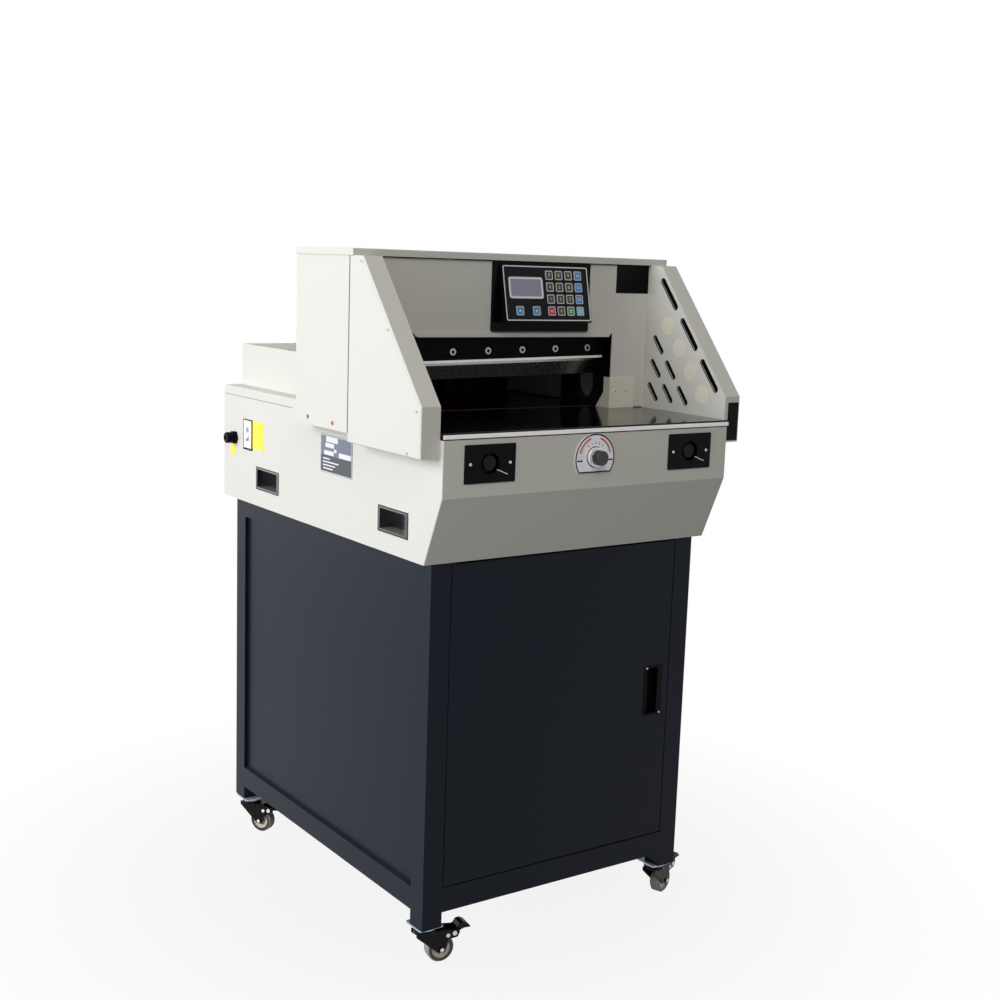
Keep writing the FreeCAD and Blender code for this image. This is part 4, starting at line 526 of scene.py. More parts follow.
def thicken(part, thickness):
    """Raise a flat sheet into a closed solid."""
    raised = bmesh.ops.extrude_face_region(part, geom=part.faces[:])
    lifted = [item for item in raised["geom"] if isinstance(item, bmesh.types.BMVert)]
    bmesh.ops.translate(part, verts=lifted, vec=(0, 0, thickness))


def soften_top(part, soft):
    """Round the edges between the top of a flat solid and its walls."""
    top = max(vert.co.z for vert in part.verts)
    rim = [edge for edge in part.edges if len(edge.link_faces) == 2
           and all(end.co.z > top - 1e-6 for end in edge.verts) and edge.calc_face_angle() > 0.8]
    bmesh.ops.bevel(part, geom=rim, offset=soft, offset_type="OFFSET", segments=2, profile=0.5,
                    affect="EDGES", material=-1, clamp_overlap=True)


def add_plate(mesh, matrix, width, height, thickness, radius, middle=(0, 0), band=None, soft=0.0):
    """A plate with round corners; with a band it becomes a frame of that width."""
    part = bmesh.new()
    bmesh.ops.create_grid(part, x_segments=1, y_segments=1, size=0.5,
                          matrix=Matrix.Diagonal((width, height, 1, 1)))
    if radius:
        bmesh.ops.bevel(part, geom=part.verts[:], offset=radius, offset_type="OFFSET", segments=5,
                        profile=0.5, affect="VERTICES", material=-1)
    if band:
        part.faces.ensure_lookup_table()
        field = part.faces[0]
        bmesh.ops.inset_individual(part, faces=[field], thickness=band)
        bmesh.ops.delete(part, geom=[field], context="FACES_ONLY")
    thicken(part, thickness)
    if soft:
        soften_top(part, soft)
    merge_into(mesh, part, matrix @ Matrix.Translation((middle[0], middle[1], 0)))


def add_head(mesh, matrix, radius, height, soft, sides=24):
    """A round head with a softened rim; with few sides it is a prism."""
    part = bmesh.new()
    bmesh.ops.create_cone(part, cap_ends=True, cap_tris=False, segments=sides, radius1=radius,
                          radius2=radius, depth=height,
                          matrix=Matrix.Translation((0, 0, height / 2)))
    if soft:
        soften_top(part, soft)
    merge_into(mesh, part, matrix)


def add_arc(mesh, matrix, inner, outer, thickness, start, end, steps=24):
    """Part of a flat ring: a short edge spun round the middle, then thickened."""
    part = bmesh.new()
    ends = [part.verts.new((radius * math.cos(start), radius * math.sin(start), 0))
            for radius in (inner, outer)]
    edge = part.edges.new(ends)
    bmesh.ops.spin(part, geom=ends + [edge], cent=(0, 0, 0), axis=(0, 0, 1), angle=end - start,
                   steps=steps)
    thicken(part, thickness)
    merge_into(mesh, part, matrix)


def add_ring(mesh, matrix, inner, outer, thickness):
    """A closed flat ring: its small section spun all the way round."""
    part = bmesh.new()
    corners = [part.verts.new((radius, 0, height)) for radius, height in
               ((inner, 0), (outer, 0), (outer, thickness), (inner, thickness))]
    edges = [part.edges.new((corners[i - 1], corners[i])) for i in range(4)]
    bmesh.ops.spin(part, geom=corners + edges, cent=(0, 0, 0), axis=(0, 0, 1), angle=2 * math.pi,
                   steps=36, use_merge=True)
    merge_into(mesh, part, matrix)


print("shapes: plate, frame, head, arc and ring")

# %% [markdown]
# A cross-head screw is a domed head with a cross sunk in it. At this size two thin dark bars on the dome,
# painted shade for the sunk cross, read as the cross, and they cost far fewer faces than a real recess.

# %% Screw heads


def add_screws(name, body, material, places, radius, rise=0.55):
    """Domed screw heads at the given matrices, and dark crosses of painted shade in them."""
    heads, crosses = bmesh.new(), bmesh.new()
    for matrix in places:
        add_head(heads, matrix, radius, radius * rise, radius * rise * 0.6)
        for turn in (0.4, 0.4 + math.pi / 2):
            spun = (matrix @ Matrix.Translation((0, 0, radius * (rise - 0.05)))
                    @ Matrix.Rotation(turn, 4, "Z"))
            # Each bar is painted shade of the sunk cross.
            add_plate(crosses, spun, radius * 1.1, radius * 0.24, radius * 0.09, 0)
    add_piece(name, heads, material, body)
    add_piece(name + "_crosses", crosses, BLACK_PRINT_AND_PAINTED_SHADE, body)
    return len(places)


print("screw helper ready")

# %% [markdown]
# ## Keypad
# The keypad is a printed foil on a plate that leans back. A pale line runs round it, a rounded frame
# surrounds the screen, and every key is a pale rim round a coloured field. All of it is drawn flat and
# then leaned back by one matrix, the same lean as the plate's. Heights are counted from the plate's rim.

# %% Keypad face
FACE_LEAN = math.radians(12)
face_low, face_high = (Vector(corner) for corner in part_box("control_panel"))
FACE_WIDTH, FACE_HEIGHT = 193 * MM, 101 * MM
RIM_HEIGHT = 1.25 * MM
face_middle = (face_low + face_high) / 2
KEYPAD = (Matrix.Translation(face_middle) @ Matrix.Rotation(-FACE_LEAN, 4, "X")
          @ front_face(0, 0, 0) @ Matrix.Translation((0, 0, RIM_HEIGHT)))
FOIL = KEYPAD @ Matrix.Translation((0, 0, -0.82 * MM))
KEY_TOP = KEYPAD @ Matrix.Translation((0, 0, -0.02 * MM))
KEY_PITCH, KEY_SIZE = 22 * MM, 17 * MM


def key_place(column, row):
    """Middle of a key on the keypad; column 3 of row 3 is the top right one."""
    across = FACE_WIDTH / 2 - KEY_PITCH * (3 - column) - 24 * MM
    return across, KEY_PITCH * (row - 1.5) + 1 * MM


WINDOW_WIDTH, WINDOW_HEIGHT = 70 * MM, 33 * MM
WINDOW_MIDDLE = (14.5 * MM - FACE_WIDTH / 2 + WINDOW_WIDTH / 2,
                 key_place(0, 1)[1] + KEY_PITCH / 6 + WINDOW_HEIGHT / 2)
ARROWS = [(WINDOW_MIDDLE[0] + WINDOW_WIDTH * share, key_place(0, 0)[1]) for share in (-0.26, 0.27)]
print("keypad middle", [round(value, 4) for value in face_middle])

# %% Line round the keypad and frame round the screen


def keypad_prints():
    """Pale border line on the rim and the rounded frame round the screen."""
    mesh = bmesh.new()
    add_plate(mesh, KEYPAD, FACE_WIDTH - 0.5 * MM, FACE_HEIGHT - 0.5 * MM, 0.12 * MM, 3.8 * MM,
              band=2.1 * MM)
    add_plate(mesh, FOIL, WINDOW_WIDTH + 6.4 * MM, WINDOW_HEIGHT + 6.4 * MM, 0.3 * MM, 4.5 * MM,
              middle=WINDOW_MIDDLE, band=4.2 * MM, soft=0.1 * MM)
    return add_piece("keypad_lines", mesh, WHITE_PRINT_AND_PAINTED_HIGHLIGHT, "machine")


print(keypad_prints().name)

# %% [markdown]
# The sixteen keys and the two arrow keys share one shape. What differs is the colour of the field, so
# the keys are sorted by colour and each colour is one mesh.

# %% Keys
FIELDS = {
    "dark": (KEY_DARK, [(c, r) for c in range(3) for r in (1, 2, 3)] + [(1, 0)]),
    "blue": (KEY_BLUE, [(3, 3), (3, 2), (3, 1)]),
    "red": (KEY_RED, [(0, 0)]),
    "green": (KEY_GREEN, [(2, 0)]),
    "pale": (KEY_PALE, [(3, 0)]),
}


def keys():
    """Pale rims of all keys, then the coloured fields inside them."""
    rims = bmesh.new()
    for middle in [key_place(c, r) for c in range(4) for r in range(4)] + ARROWS:
        add_plate(rims, KEY_TOP, KEY_SIZE, KEY_SIZE, 0.5 * MM, 2.5 * MM, middle=middle,
                  band=1.9 * MM, soft=0.15 * MM)
    add_piece("key_rims", rims, KEY_GREY, "machine")
    for color, (material, places) in FIELDS.items():
        fields = bmesh.new()
        middles = [key_place(*place) for place in places] + (ARROWS if color == "blue" else [])
        for middle in middles:
            add_plate(fields, KEY_TOP, KEY_SIZE - 3.9 * MM, KEY_SIZE - 3.9 * MM, 0.35 * MM, 0.9 * MM,
                      middle=middle)
        add_piece("key_fields_" + color, fields, material, "machine")
    return len(FIELDS)


print("key colours:", keys())

# %% Digits and signs on the keys
DIGITS = {(0, 3): "7", (1, 3): "8", (2, 3): "9", (0, 2): "4", (1, 2): "5", (2, 2): "6",
          (0, 1): "1", (1, 1): "2", (2, 1): "3", (1, 0): "0"}
KEY_PRINT = KEY_TOP @ Matrix.Translation((0, 0, 0.34 * MM))


def digit_mesh(text, size, thickness):
    """A digit as a thin solid mesh in the flat workplace."""
    curve = bpy.data.curves.new("digit", "FONT")
    curve.body = text
    curve.size = size
    curve.extrude = thickness / 2
    curve.align_x = "CENTER"
    curve.align_y = "CENTER"
    flat = bpy.data.objects.new("digit", curve)
    bpy.context.collection.objects.link(flat)
    bpy.context.view_layer.update()
    data = bpy.data.meshes.new_from_object(flat.evaluated_get(bpy.context.evaluated_depsgraph_get()))
    bpy.data.objects.remove(flat)
    part = bmesh.new()
    part.from_mesh(data)
    return part


def key_signs():
    """A digit on each dark key, two bars on the blue ones and a triangle on the arrow keys."""
    digits = bmesh.new()
    for place, digit in DIGITS.items():
        x, y = key_place(*place)
        merge_into(digits, digit_mesh(digit, 8.5 * MM, 0.12 * MM),
                   KEY_PRINT @ Matrix.Translation((x, y, 0)))
    add_piece("key_digits", digits, YELLOW_PRINT, "machine")
    marks = bmesh.new()
    for x, y in [key_place(*place) for place in FIELDS["blue"][1] + [(0, 0), (2, 0), (3, 0)]]:
        for line in (-1.6, 1.6):
            add_plate(marks, KEY_PRINT, 7 * MM, 1.3 * MM, 0.08 * MM, 0, middle=(x, y + line * MM))
    for turn, (x, y) in zip((0, math.pi), ARROWS):
        add_head(marks, KEY_PRINT @ Matrix.Translation((x, y, 0)) @ Matrix.Rotation(turn, 4, "Z"),
                 3.4 * MM, 0.08 * MM, 0, sides=3)
    return add_piece("key_marks", marks, WHITE_PRINT_AND_PAINTED_HIGHLIGHT, "machine")


print(key_signs().name)

# %% [markdown]
# ## Plates without words
# A machine like this has a data plate, instruction plates and stickers. Here each is a bare plate of
# the same size and colour. The data plate keeps pale blank fields, because a plate with nothing on it
# would look unfinished.

# %% Bare plates
SIDE_FACE = -HALF
HEAD_PLATE = front_face(269 * MM, FASCIA, 1200.5 * MM)
GUARD_PLATE = front_face(331 * MM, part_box("guard_right")[0][1], 948 * MM)
DATA_PLATE = left_face(SIDE_FACE, depth(354.5), 870 * MM)
DATA_FACE = DATA_PLATE @ Matrix.Translation((0, 0, 0.8 * MM))
TAG_PLATE = left_face(SIDE_FACE, depth(681), 868 * MM)


def bare_plates():
    """Dark plates on the head, the right guard and the side of the base."""
    mesh = bmesh.new()
    add_plate(mesh, HEAD_PLATE, 80 * MM, 54 * MM, 0.8 * MM, 1.5 * MM, soft=0.2 * MM)
    add_plate(mesh, GUARD_PLATE, 26 * MM, 70 * MM, 0.5 * MM, 1 * MM)
    add_piece("bare_dark_plates", mesh, BLACK_PRINT_AND_PAINTED_SHADE, "machine")
    data = bmesh.new()
    add_plate(data, DATA_PLATE, 119 * MM, 70 * MM, 0.8 * MM, 2 * MM, soft=0.2 * MM)
    add_piece("bare_data_plate", data, PLATE_PRINT_AND_PAINTED_SHADOW, "machine")
    field = bmesh.new()
    add_plate(field, DATA_FACE, 114 * MM, 30 * MM, 0.06 * MM, 1 * MM, middle=(0, -17.5 * MM))
    return add_piece("data_plate_field", field, PLATE_DARK, "machine")


def plate_fields():
    """Blank pale fields of the data plate and the pale disc-shaped stickers on the guard."""
    mesh = bmesh.new()
    rows = [(-16, 27, 44, 10), (-24, 16, 33, 8), (-3, 8, 9, 6), (-27, 2, 36, 8), (33, 2, 44, 9),
            (-36, -9, 26, 2.4), (-20, -15, 60, 2.4), (-26, -21, 46, 2.4), (-30, -27, 36, 2.4)]
    for x, y, width, height in rows:
        add_plate(mesh, DATA_FACE, width * MM, height * MM, 0.12 * MM, 0.6 * MM, middle=(x * MM, y * MM))
    add_plate(mesh, DATA_FACE, 117 * MM, 68 * MM, 0.1 * MM, 1 * MM, band=1.1 * MM)
    add_piece("blank_plate_fields", mesh, LABEL_FOIL_AND_PAINTED_HIGHLIGHT, "machine")
    discs = bmesh.new()
    for y, z in [(179, 1115), (144, 1074), (109, 1032), (73.6, 992)]:
        add_head(discs, left_face(GUARD_IN, depth(y), z * MM), 17.5 * MM, 0.4 * MM, 0.1 * MM, sides=48)
    add_piece("bare_guard_discs", discs, FENCE_CREAM, "machine")
    tags = bmesh.new()
    add_plate(tags, TAG_PLATE, 56 * MM, 56 * MM, 0.5 * MM, 2 * MM)
    add_head(tags, left_face(SIDE_FACE, depth(796), 827 * MM), 13 * MM, 0.6 * MM, 0.1 * MM, sides=48)
    return add_piece("bare_yellow_tags", tags, YELLOW_PRINT, "machine")


print(bare_plates().name, plate_fields().name)

# %% [markdown]
# ## Guards
# The slots in the guards look into the hollow guards, where the light barrier sits, and show only
# shade. A dark sheet just behind each inner panel paints that shade. It is one outline, extruded.

# %% Dark sheets of painted shade behind the slots


def painted_shade_sheets():
    """A dark sheet behind each slotted panel: painted shade for the inside of the guard."""
    outline = [(20, 922), (240, 922), (240, 1214), (212, 1214), (20, 998)]
    mesh = bmesh.new()
    for x in (GUARD_IN + 1.6 * MM, -GUARD_IN - 2.2 * MM):
        part = bmesh.new()
        part.faces.new([part.verts.new((depth(y), z * MM, 0)) for y, z in outline])
        thicken(part, 0.6 * MM)
        merge_into(mesh, part, facing((x, 0, 0), (0, 1, 0), (0, 0, 1)))
    return add_piece("painted_shade_slot_sheets", mesh, BLACK_PLASTIC_AND_PAINTED_SHADE, "machine")


print(painted_shade_sheets().name)

# %% Dark edging of the slots
SLOPE = math.atan2(234, 195)          # rise and run of the guard's front edge
LONG_SLOT, SHORT_SLOT = (70, 9), (39, 7)
LONG_SLOTS = [(117.5 + step, 1102 + 1.2 * step) for step in (-61, 0, 61)]
SHORT_SLOTS = [(213 - 43 * k - 5 * i, 985 + 46 * i) for i in range(3) for k in range(3 - i)]


def slot_edging():
    """A flat dark frame round every slot, on the inner face of both guards."""
    mesh = bmesh.new()
    for sign in (-1, 1):
        for y, z in LONG_SLOTS + SHORT_SLOTS:
            length, width = LONG_SLOT if (y, z) in LONG_SLOTS else SHORT_SLOT
            face = left_face if sign > 0 else right_face
            place = face(sign * GUARD_IN, depth(y), z * MM) @ Matrix.Rotation(
                math.pi / 2 + sign * (math.pi / 2 - SLOPE), 4, "Z")
            add_plate(mesh, place, (length + 4) * MM, (width + 4) * MM, 0.15 * MM,
                      (width + 3.9) / 2 * MM, band=2.1 * MM)
    return add_piece("slot_edging", mesh, BLACK_PLASTIC_AND_PAINTED_SHADE, "machine")


print(slot_edging().name)

# %% [markdown]
# Small pan-head screws hold the guards and the column covers, and the ones on the columns are brass.
# Their places are written once as depth and height, and each side makes its own matrices from them.

# %% Screws of the guards and columns
GUARD_SCREWS = [(208, 1219), (118, 1110), (22, 986), (49, 916)]
COLUMN_SCREWS = [(395, 939), (302, 937)]
guard_places = [left_face(-GUARD_OUT, depth(y), z * MM) for y, z in GUARD_SCREWS]
guard_places += [right_face(GUARD_OUT, depth(y), z * MM) for y, z in GUARD_SCREWS]
column_places = [left_face(-GUARD_OUT, depth(y), z * MM) for y, z in COLUMN_SCREWS]
column_places += [right_face(GUARD_OUT, depth(y), z * MM) for y, z in COLUMN_SCREWS]
count = add_screws("guard_screws", "machine", CREAM, guard_places, 3 * MM)
count += add_screws("column_screws", "machine", SCREW_BRASS, column_places, 3.8 * MM,
                     rise=0.36)
print("screws on guards and columns:", count)

# %% [markdown]
# A folded sheet gets a painted highlight along the edge where it turns and a painted shadow under a lip
# that overhangs another sheet. The bend itself is in the solids. These lines are strips a tenth of a
# millimetre thick that lie on them, since a line in the material would have to be measured out along every
# face.

# %% Lines of the cap


def cap_lines():
    """Painted highlight along the front fold of the cap and painted shadow under its lip."""
    low, high = (Vector(corner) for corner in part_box("top_cap"))
    pale, dark = bmesh.new(), bmesh.new()
    add_plate(pale, front_face(0, low.y, high.z - 1.2 * MM), high.x - low.x - 2 * MM, 1.6 * MM, 0.1 * MM, 0)
    add_plate(dark, front_face(0, FASCIA, low.z - 0.9 * MM), 2 * GUARD_IN - 4 * MM, 1.6 * MM, 0.1 * MM, 0)
    add_piece("cap_painted_highlight", pale, WHITE_PRINT_AND_PAINTED_HIGHLIGHT, "machine")
    return add_piece("cap_painted_shadow", dark, BLACK_PRINT_AND_PAINTED_SHADE, "machine")


print(cap_lines().name)

# %% [markdown]
# Guard and column cover meet along an upright joint, and the shade in its gap is painted as a dark
# strip. One narrow strip a side is enough, set back a little from the outer face.

# %% Painted shade in the seam between guard and column


def side_seam_painted_shade():
    """Painted shade in the gap between each guard and its column."""
    mesh = bmesh.new()
    for side, face in ((-1, left_face), (1, right_face)):
        add_plate(mesh, face(side * (GUARD_OUT - 1.2 * MM), depth(250), 1075.5 * MM), 1.8 * MM, 300 * MM,
                  0.7 * MM, 0)
    return add_piece("side_seam_painted_shade", mesh, BLACK_PLASTIC_AND_PAINTED_SHADE, "machine")


print(side_seam_painted_shade().name)

# %% [markdown]
# The front edge of each guard is folded inwards, first upright and then along the slope, and the fold
# gets a strip of painted shade; under the rear lid's edge above the base a dark strip is painted shadow.
# The strips are drawn upright and leaned by the slope's angle.

# %% Painted shade on the guard folds and under the lid


def guard_fold_painted_shade():
    """Painted shade along the folds at the front of each guard's outer side and painted shadow under the
    rear lid.
    """
    shade, dark = bmesh.new(), bmesh.new()
    for side, face in ((-1, left_face), (1, right_face)):
        add_plate(shade, face(side * GUARD_OUT, depth(12.5), 952 * MM), 1.1 * MM, 80 * MM, 0.1 * MM, 0)
        lean = Matrix.Rotation(side * (SLOPE - math.pi / 2), 4, "Z")
        add_plate(shade, face(side * GUARD_OUT, depth(109.8), 1108.6 * MM) @ lean, 1.1 * MM, 296 * MM,
                  0.1 * MM, 0)
        add_plate(dark, face(side * HALF, depth(682), 939.3 * MM), 308 * MM, 1.2 * MM, 0.1 * MM, 0)
    add_piece("guard_fold_painted_shade", shade, FOLD_SHADE, "machine")
    return add_piece("lid_painted_shadow", dark, PLATE_PRINT_AND_PAINTED_SHADOW, "machine")


print(guard_fold_painted_shade().name)

# %% [markdown]
# Six black fixings hold the dust cover down, most of them at its rear corners. They are sunk into the
# sheet, so only the domed top of each shows.

# %% Fixings of the dust cover
COVER_FIXINGS = [(-244, 813), (-184, 809), (-155, 831), (-264, 635), (264, 635), (244, 813)]
cover_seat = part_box("dust_cover")[1][2] - 1.5 * MM
cover_places = [top_face(x * MM, depth(y), cover_seat) for x, y in COVER_FIXINGS]
print("cover fixings:",
      add_screws("cover_fixings", "machine", BLACK_PLASTIC_AND_PAINTED_SHADE, cover_places, 3.4 * MM))

# %% [markdown]
# ## Trim dial and cut buttons
# The dial's plate is pale with a black outline, two orange arcs that tell the turning directions, and
# a few black ticks. An arc is a short edge spun round the middle.

# %% Prints on the dial
DIAL_RADIUS, DIAL_FOOT = 43 * MM, 25 * MM
DIAL = front_face(0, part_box("trim_dial_plate")[0][1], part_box("trim_dial_plate")[1][2] - DIAL_RADIUS)
KNOB_AXIS = DIAL @ Matrix.Translation((0, KNOB_LEVEL - DIAL.translation.z, 0))


def dial_prints():
    """Outline, ticks and the two orange arcs."""
    black = bmesh.new()
    line, level = DIAL_RADIUS - 1.4 * MM, DIAL_FOOT - 1.4 * MM
    foot = math.asin(level / line)
    add_arc(black, DIAL, line - 1.2 * MM, line + 1.2 * MM, 0.12 * MM, -foot, math.pi + foot, 48)
    add_plate(black, DIAL, 2 * line * math.cos(foot), 2.4 * MM, 0.12 * MM, 0, middle=(0, -level))
    add_ring(black, KNOB_AXIS, 16 * MM, 18.5 * MM, 0.12 * MM)
    for side in (-1, 1):
        add_plate(black, KNOB_AXIS, 12 * MM, 2.4 * MM, 0.12 * MM, 0, middle=(side * 33 * MM, -6 * MM))
    for turn in (-38, -19, 0, 19, 38):
        spun = KNOB_AXIS @ Matrix.Rotation(math.radians(turn), 4, "Z")
        add_plate(black, spun, 1.2 * MM, 4.5 * MM, 0.12 * MM, 0, middle=(0, 24 * MM))
    add_piece("dial_outline", black, BLACK_PRINT_AND_PAINTED_SHADE, "machine")
    orange = bmesh.new()
    for middle in (42, 138):
        start, end = math.radians(middle - 30), math.radians(middle + 30)
        add_arc(orange, KNOB_AXIS, 31.5 * MM, 35 * MM, 0.12 * MM, start, end)
    return add_piece("dial_arcs", orange, ORANGE_PRINT, "machine")


print(dial_prints().name)

# %% [markdown]
# Each cut button sits in a plate held by two screws, with a slanted pale bar beside it: a painted
# highlight on the lower edge of the button's recess. Both plates are the same drawing round their own
# middle, which is read from the plate's box.

# %% Screws and painted highlights of the button plates
button_middles = [(low + high) / 2 for low, high in
                  ((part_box(name)[0][0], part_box(name)[1][0])
                   for name in ("button_plate_left", "button_plate_right"))]


def button_painted_highlights():
    """A slanted pale bar beside each button: a painted highlight on the edge of its recess."""
    mesh = bmesh.new()
    for x in button_middles:
        place = (front_face(x + 24 * MM, PLATE_FACE, KNOB_LEVEL - 15 * MM)
                 @ Matrix.Rotation(math.radians(-22), 4, "Z"))
        add_plate(mesh, place, 24 * MM, 1.6 * MM, 0.4 * MM, 0.7 * MM, soft=0.1 * MM)
    return add_piece("button_recess_painted_highlights", mesh, LABEL_FOIL_AND_PAINTED_HIGHLIGHT, "machine")


button_screws = [front_face(x + side * 39.5 * MM, PLATE_FACE, KNOB_LEVEL)
                 for x in button_middles for side in (-1, 1)]
print(button_painted_highlights().name,
      add_screws("button_plate_screws", "machine", SCREW_ZINC, button_screws, 2.6 * MM))

# %% [markdown]
# ## Side of the base
# The breaker sits in a hole behind a black frame. The frame is a plate with a band, a little larger than
# the breaker's own box, with its edges softened. It sits a millimetre to the right and down, so that its
# wider band along the right and lower edges is painted shade of the recess.

# %% Breaker frame
breaker_low, breaker_high = (Vector(corner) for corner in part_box("breaker_body"))
breaker_middle = (breaker_low + breaker_high) / 2


def breaker_frame_and_painted_shade():
    """Black frame round the breaker; it also covers the edge of the hole, and its offset band is painted
    shade.
    """
    mesh = bmesh.new()
    # Moved a millimetre right and down: the wider band there is painted shade.
    add_plate(mesh, left_face(SIDE_FACE, breaker_middle.y - 1 * MM, breaker_middle.z - 1 * MM),
              42 * MM, 62 * MM, 1.2 * MM, 1.5 * MM, band=3.6 * MM, soft=0.3 * MM)
    return add_piece("breaker_frame_and_painted_shade", mesh, BLACK_PLASTIC_AND_PAINTED_SHADE, "machine")


print(breaker_frame_and_painted_shade().name)

# %% [markdown]
# A hand cup is a moulding with a thin lip on the sheet round its hole. Four frames of one size do it,
# two a side, placed from the box of all four cups.

# %% Rims of the hand cups


def cup_rims():
    """Black lip round each hand cup."""
    mesh = bmesh.new()
    low, high = (Vector(corner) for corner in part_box("recess_grips"))
    level = (low.z + high.z) / 2
    for middle in (low.y + 50 * MM, high.y - 50 * MM):
        for face, x in ((left_face, low.x), (right_face, high.x)):
            add_plate(mesh, face(x, middle, level), 98 * MM, 44.5 * MM, 0.2 * MM, 2 * MM, band=1.2 * MM)
    return add_piece("cup_rims", mesh, BLACK_PLASTIC_AND_PAINTED_SHADE, "machine")


print(cup_rims().name)

# %% [markdown]
# ## Throat
# Six bright socket screws hold the blade to its bar; their sockets are painted shade. The bar hangs at a
# slight tilt and slides, so the screws and a painted highlight along its lower edge are placed in the
# bar's own frame and ride on the knife. The side lay stays with the machine: two screws, a painted
# highlight along its folds and painted shadow in the gaps beside it.

# %% Bolts of the knife and screws of the side lay
BAR_TILT = math.radians(1.1)
BAR_FRAME = (Matrix.Translation((-9 * MM, depth(297), TABLE + 60.2 * MM))
             @ Matrix.Rotation(-BAR_TILT, 4, "Y"))
BOLT_FACE = -(10.5 + 0.3 + 25 * 5 / 6) * MM
BOLT_PITCH, BOLT_COUNT = 77 * MM, 6


def knife_bolts():
    """Bright heads with dark sockets of painted shade, riding on the knife."""
    heads, sockets_dark = bmesh.new(), bmesh.new()
    for i in range(BOLT_COUNT):
        across = BOLT_PITCH * (i - (BOLT_COUNT - 1) / 2)
        place = BAR_FRAME @ front_face(across, BOLT_FACE, 52 * MM)
        add_head(heads, place, 7 * MM, 3.4 * MM, 0.8 * MM)
        # The dark socket is painted shade of the hex hole.
        add_head(sockets_dark, place @ Matrix.Translation((0, 0, 3.3 * MM)), 3.6 * MM, 0.2 * MM, 0,
                 sides=6)
    add_piece("knife_bolts", heads, MACHINED, "knife")
    return add_piece("knife_bolt_sockets", sockets_dark, BLACK_PRINT_AND_PAINTED_SHADE, "knife")


def bar_painted_highlight_strip():
    """Painted highlight along the lower edge of the bar."""
    strip = bmesh.new()
    bar_low, bar_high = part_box("knife_bar")
    place = BAR_FRAME @ front_face((bar_low[0] + bar_high[0]) / 2 + 9 * MM, -36 * MM, 35 * MM)
    add_plate(strip, place, bar_high[0] - bar_low[0] - 8 * MM, 4.4 * MM, 0.3 * MM, 0)
    return add_piece("bar_painted_highlight", strip, BRIGHT_PAINTED_REFLECTION, "knife")


def fence_lines():
    """Painted highlight along the folds of the side lay and painted shadow in the gaps beside it."""
    low, high = (Vector(corner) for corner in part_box("side_fence"))
    middle = (low.z + high.z) / 2
    pale, dark = bmesh.new(), bmesh.new()
    add_plate(pale, front_face(low.x + 1 * MM, low.y, middle), 1.4 * MM, high.z - low.z, 0.12 * MM, 0)
    add_plate(pale, front_face((low.x + high.x) / 2, low.y, high.z - 0.6 * MM), high.x - low.x,
              0.9 * MM, 0.12 * MM, 0)
    add_plate(dark, front_face(high.x + 0.9 * MM, FASCIA, middle), 1.6 * MM, high.z - low.z, 0.1 * MM, 0)
    add_plate(dark, front_face(high.x + 12 * MM, FASCIA, low.z + 0.8 * MM), 22 * MM, 1.3 * MM,
              0.1 * MM, 0)
    add_piece("fence_painted_highlights", pale, WHITE_PRINT_AND_PAINTED_HIGHLIGHT, "machine")
    return add_piece("fence_painted_shadows", dark, BLACK_PRINT_AND_PAINTED_SHADE, "machine")


print(bar_painted_highlight_strip().name, fence_lines().name)
fence_low = Vector(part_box("side_fence")[0])
fence_places = [front_face(fence_low.x + x * MM, fence_low.y + 0.8 * MM, fence_low.z + 33 * MM)
                for x in (13.6, 40.9)]
print(knife_bolts().name,
      add_screws("fence_screws", "machine", SCREW_ZINC, fence_places, 3 * MM))

# %% [markdown]
# ## Cabinet
# The recessed pull is screwed on at two opposite corners. It swings with the door, so its screws do too.

# %% Screws of the door pull
pull_low, pull_high = (Vector(corner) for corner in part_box("door_pull"))
pull_places = [front_face(pull_low.x + 4 * MM, pull_low.y, pull_high.z - 4 * MM),
               front_face(pull_high.x - 4 * MM, pull_low.y, pull_low.z + 4 * MM)]
print("pull screws:",
      add_screws("pull_screws", "door", SCREW_ZINC, pull_places, 1.8 * MM))

# %% [markdown]
# ## Castors
# The forks are black and their bolts are bright. Each wheel has a grey tread, black side walls, a cream
# dish and a bright hub, made as thin rings spun from a small section. All four castors are the same
# drawing, turned to where each one trails: the bolts ride on the fork and the rings on the wheel.

# %% Bolts and wheel rings
TURNS = {"front_left": (-1, 86, 80), "front_right": (1, 86, 110),
         "rear_left": (-1, 791, 30), "rear_right": (1, 791, 32)}   # side, depth, turn in degrees
SWIVEL_ACROSS = 266 * MM
AXLE = (-28 * MM, 25 * MM)                                         # trail and height


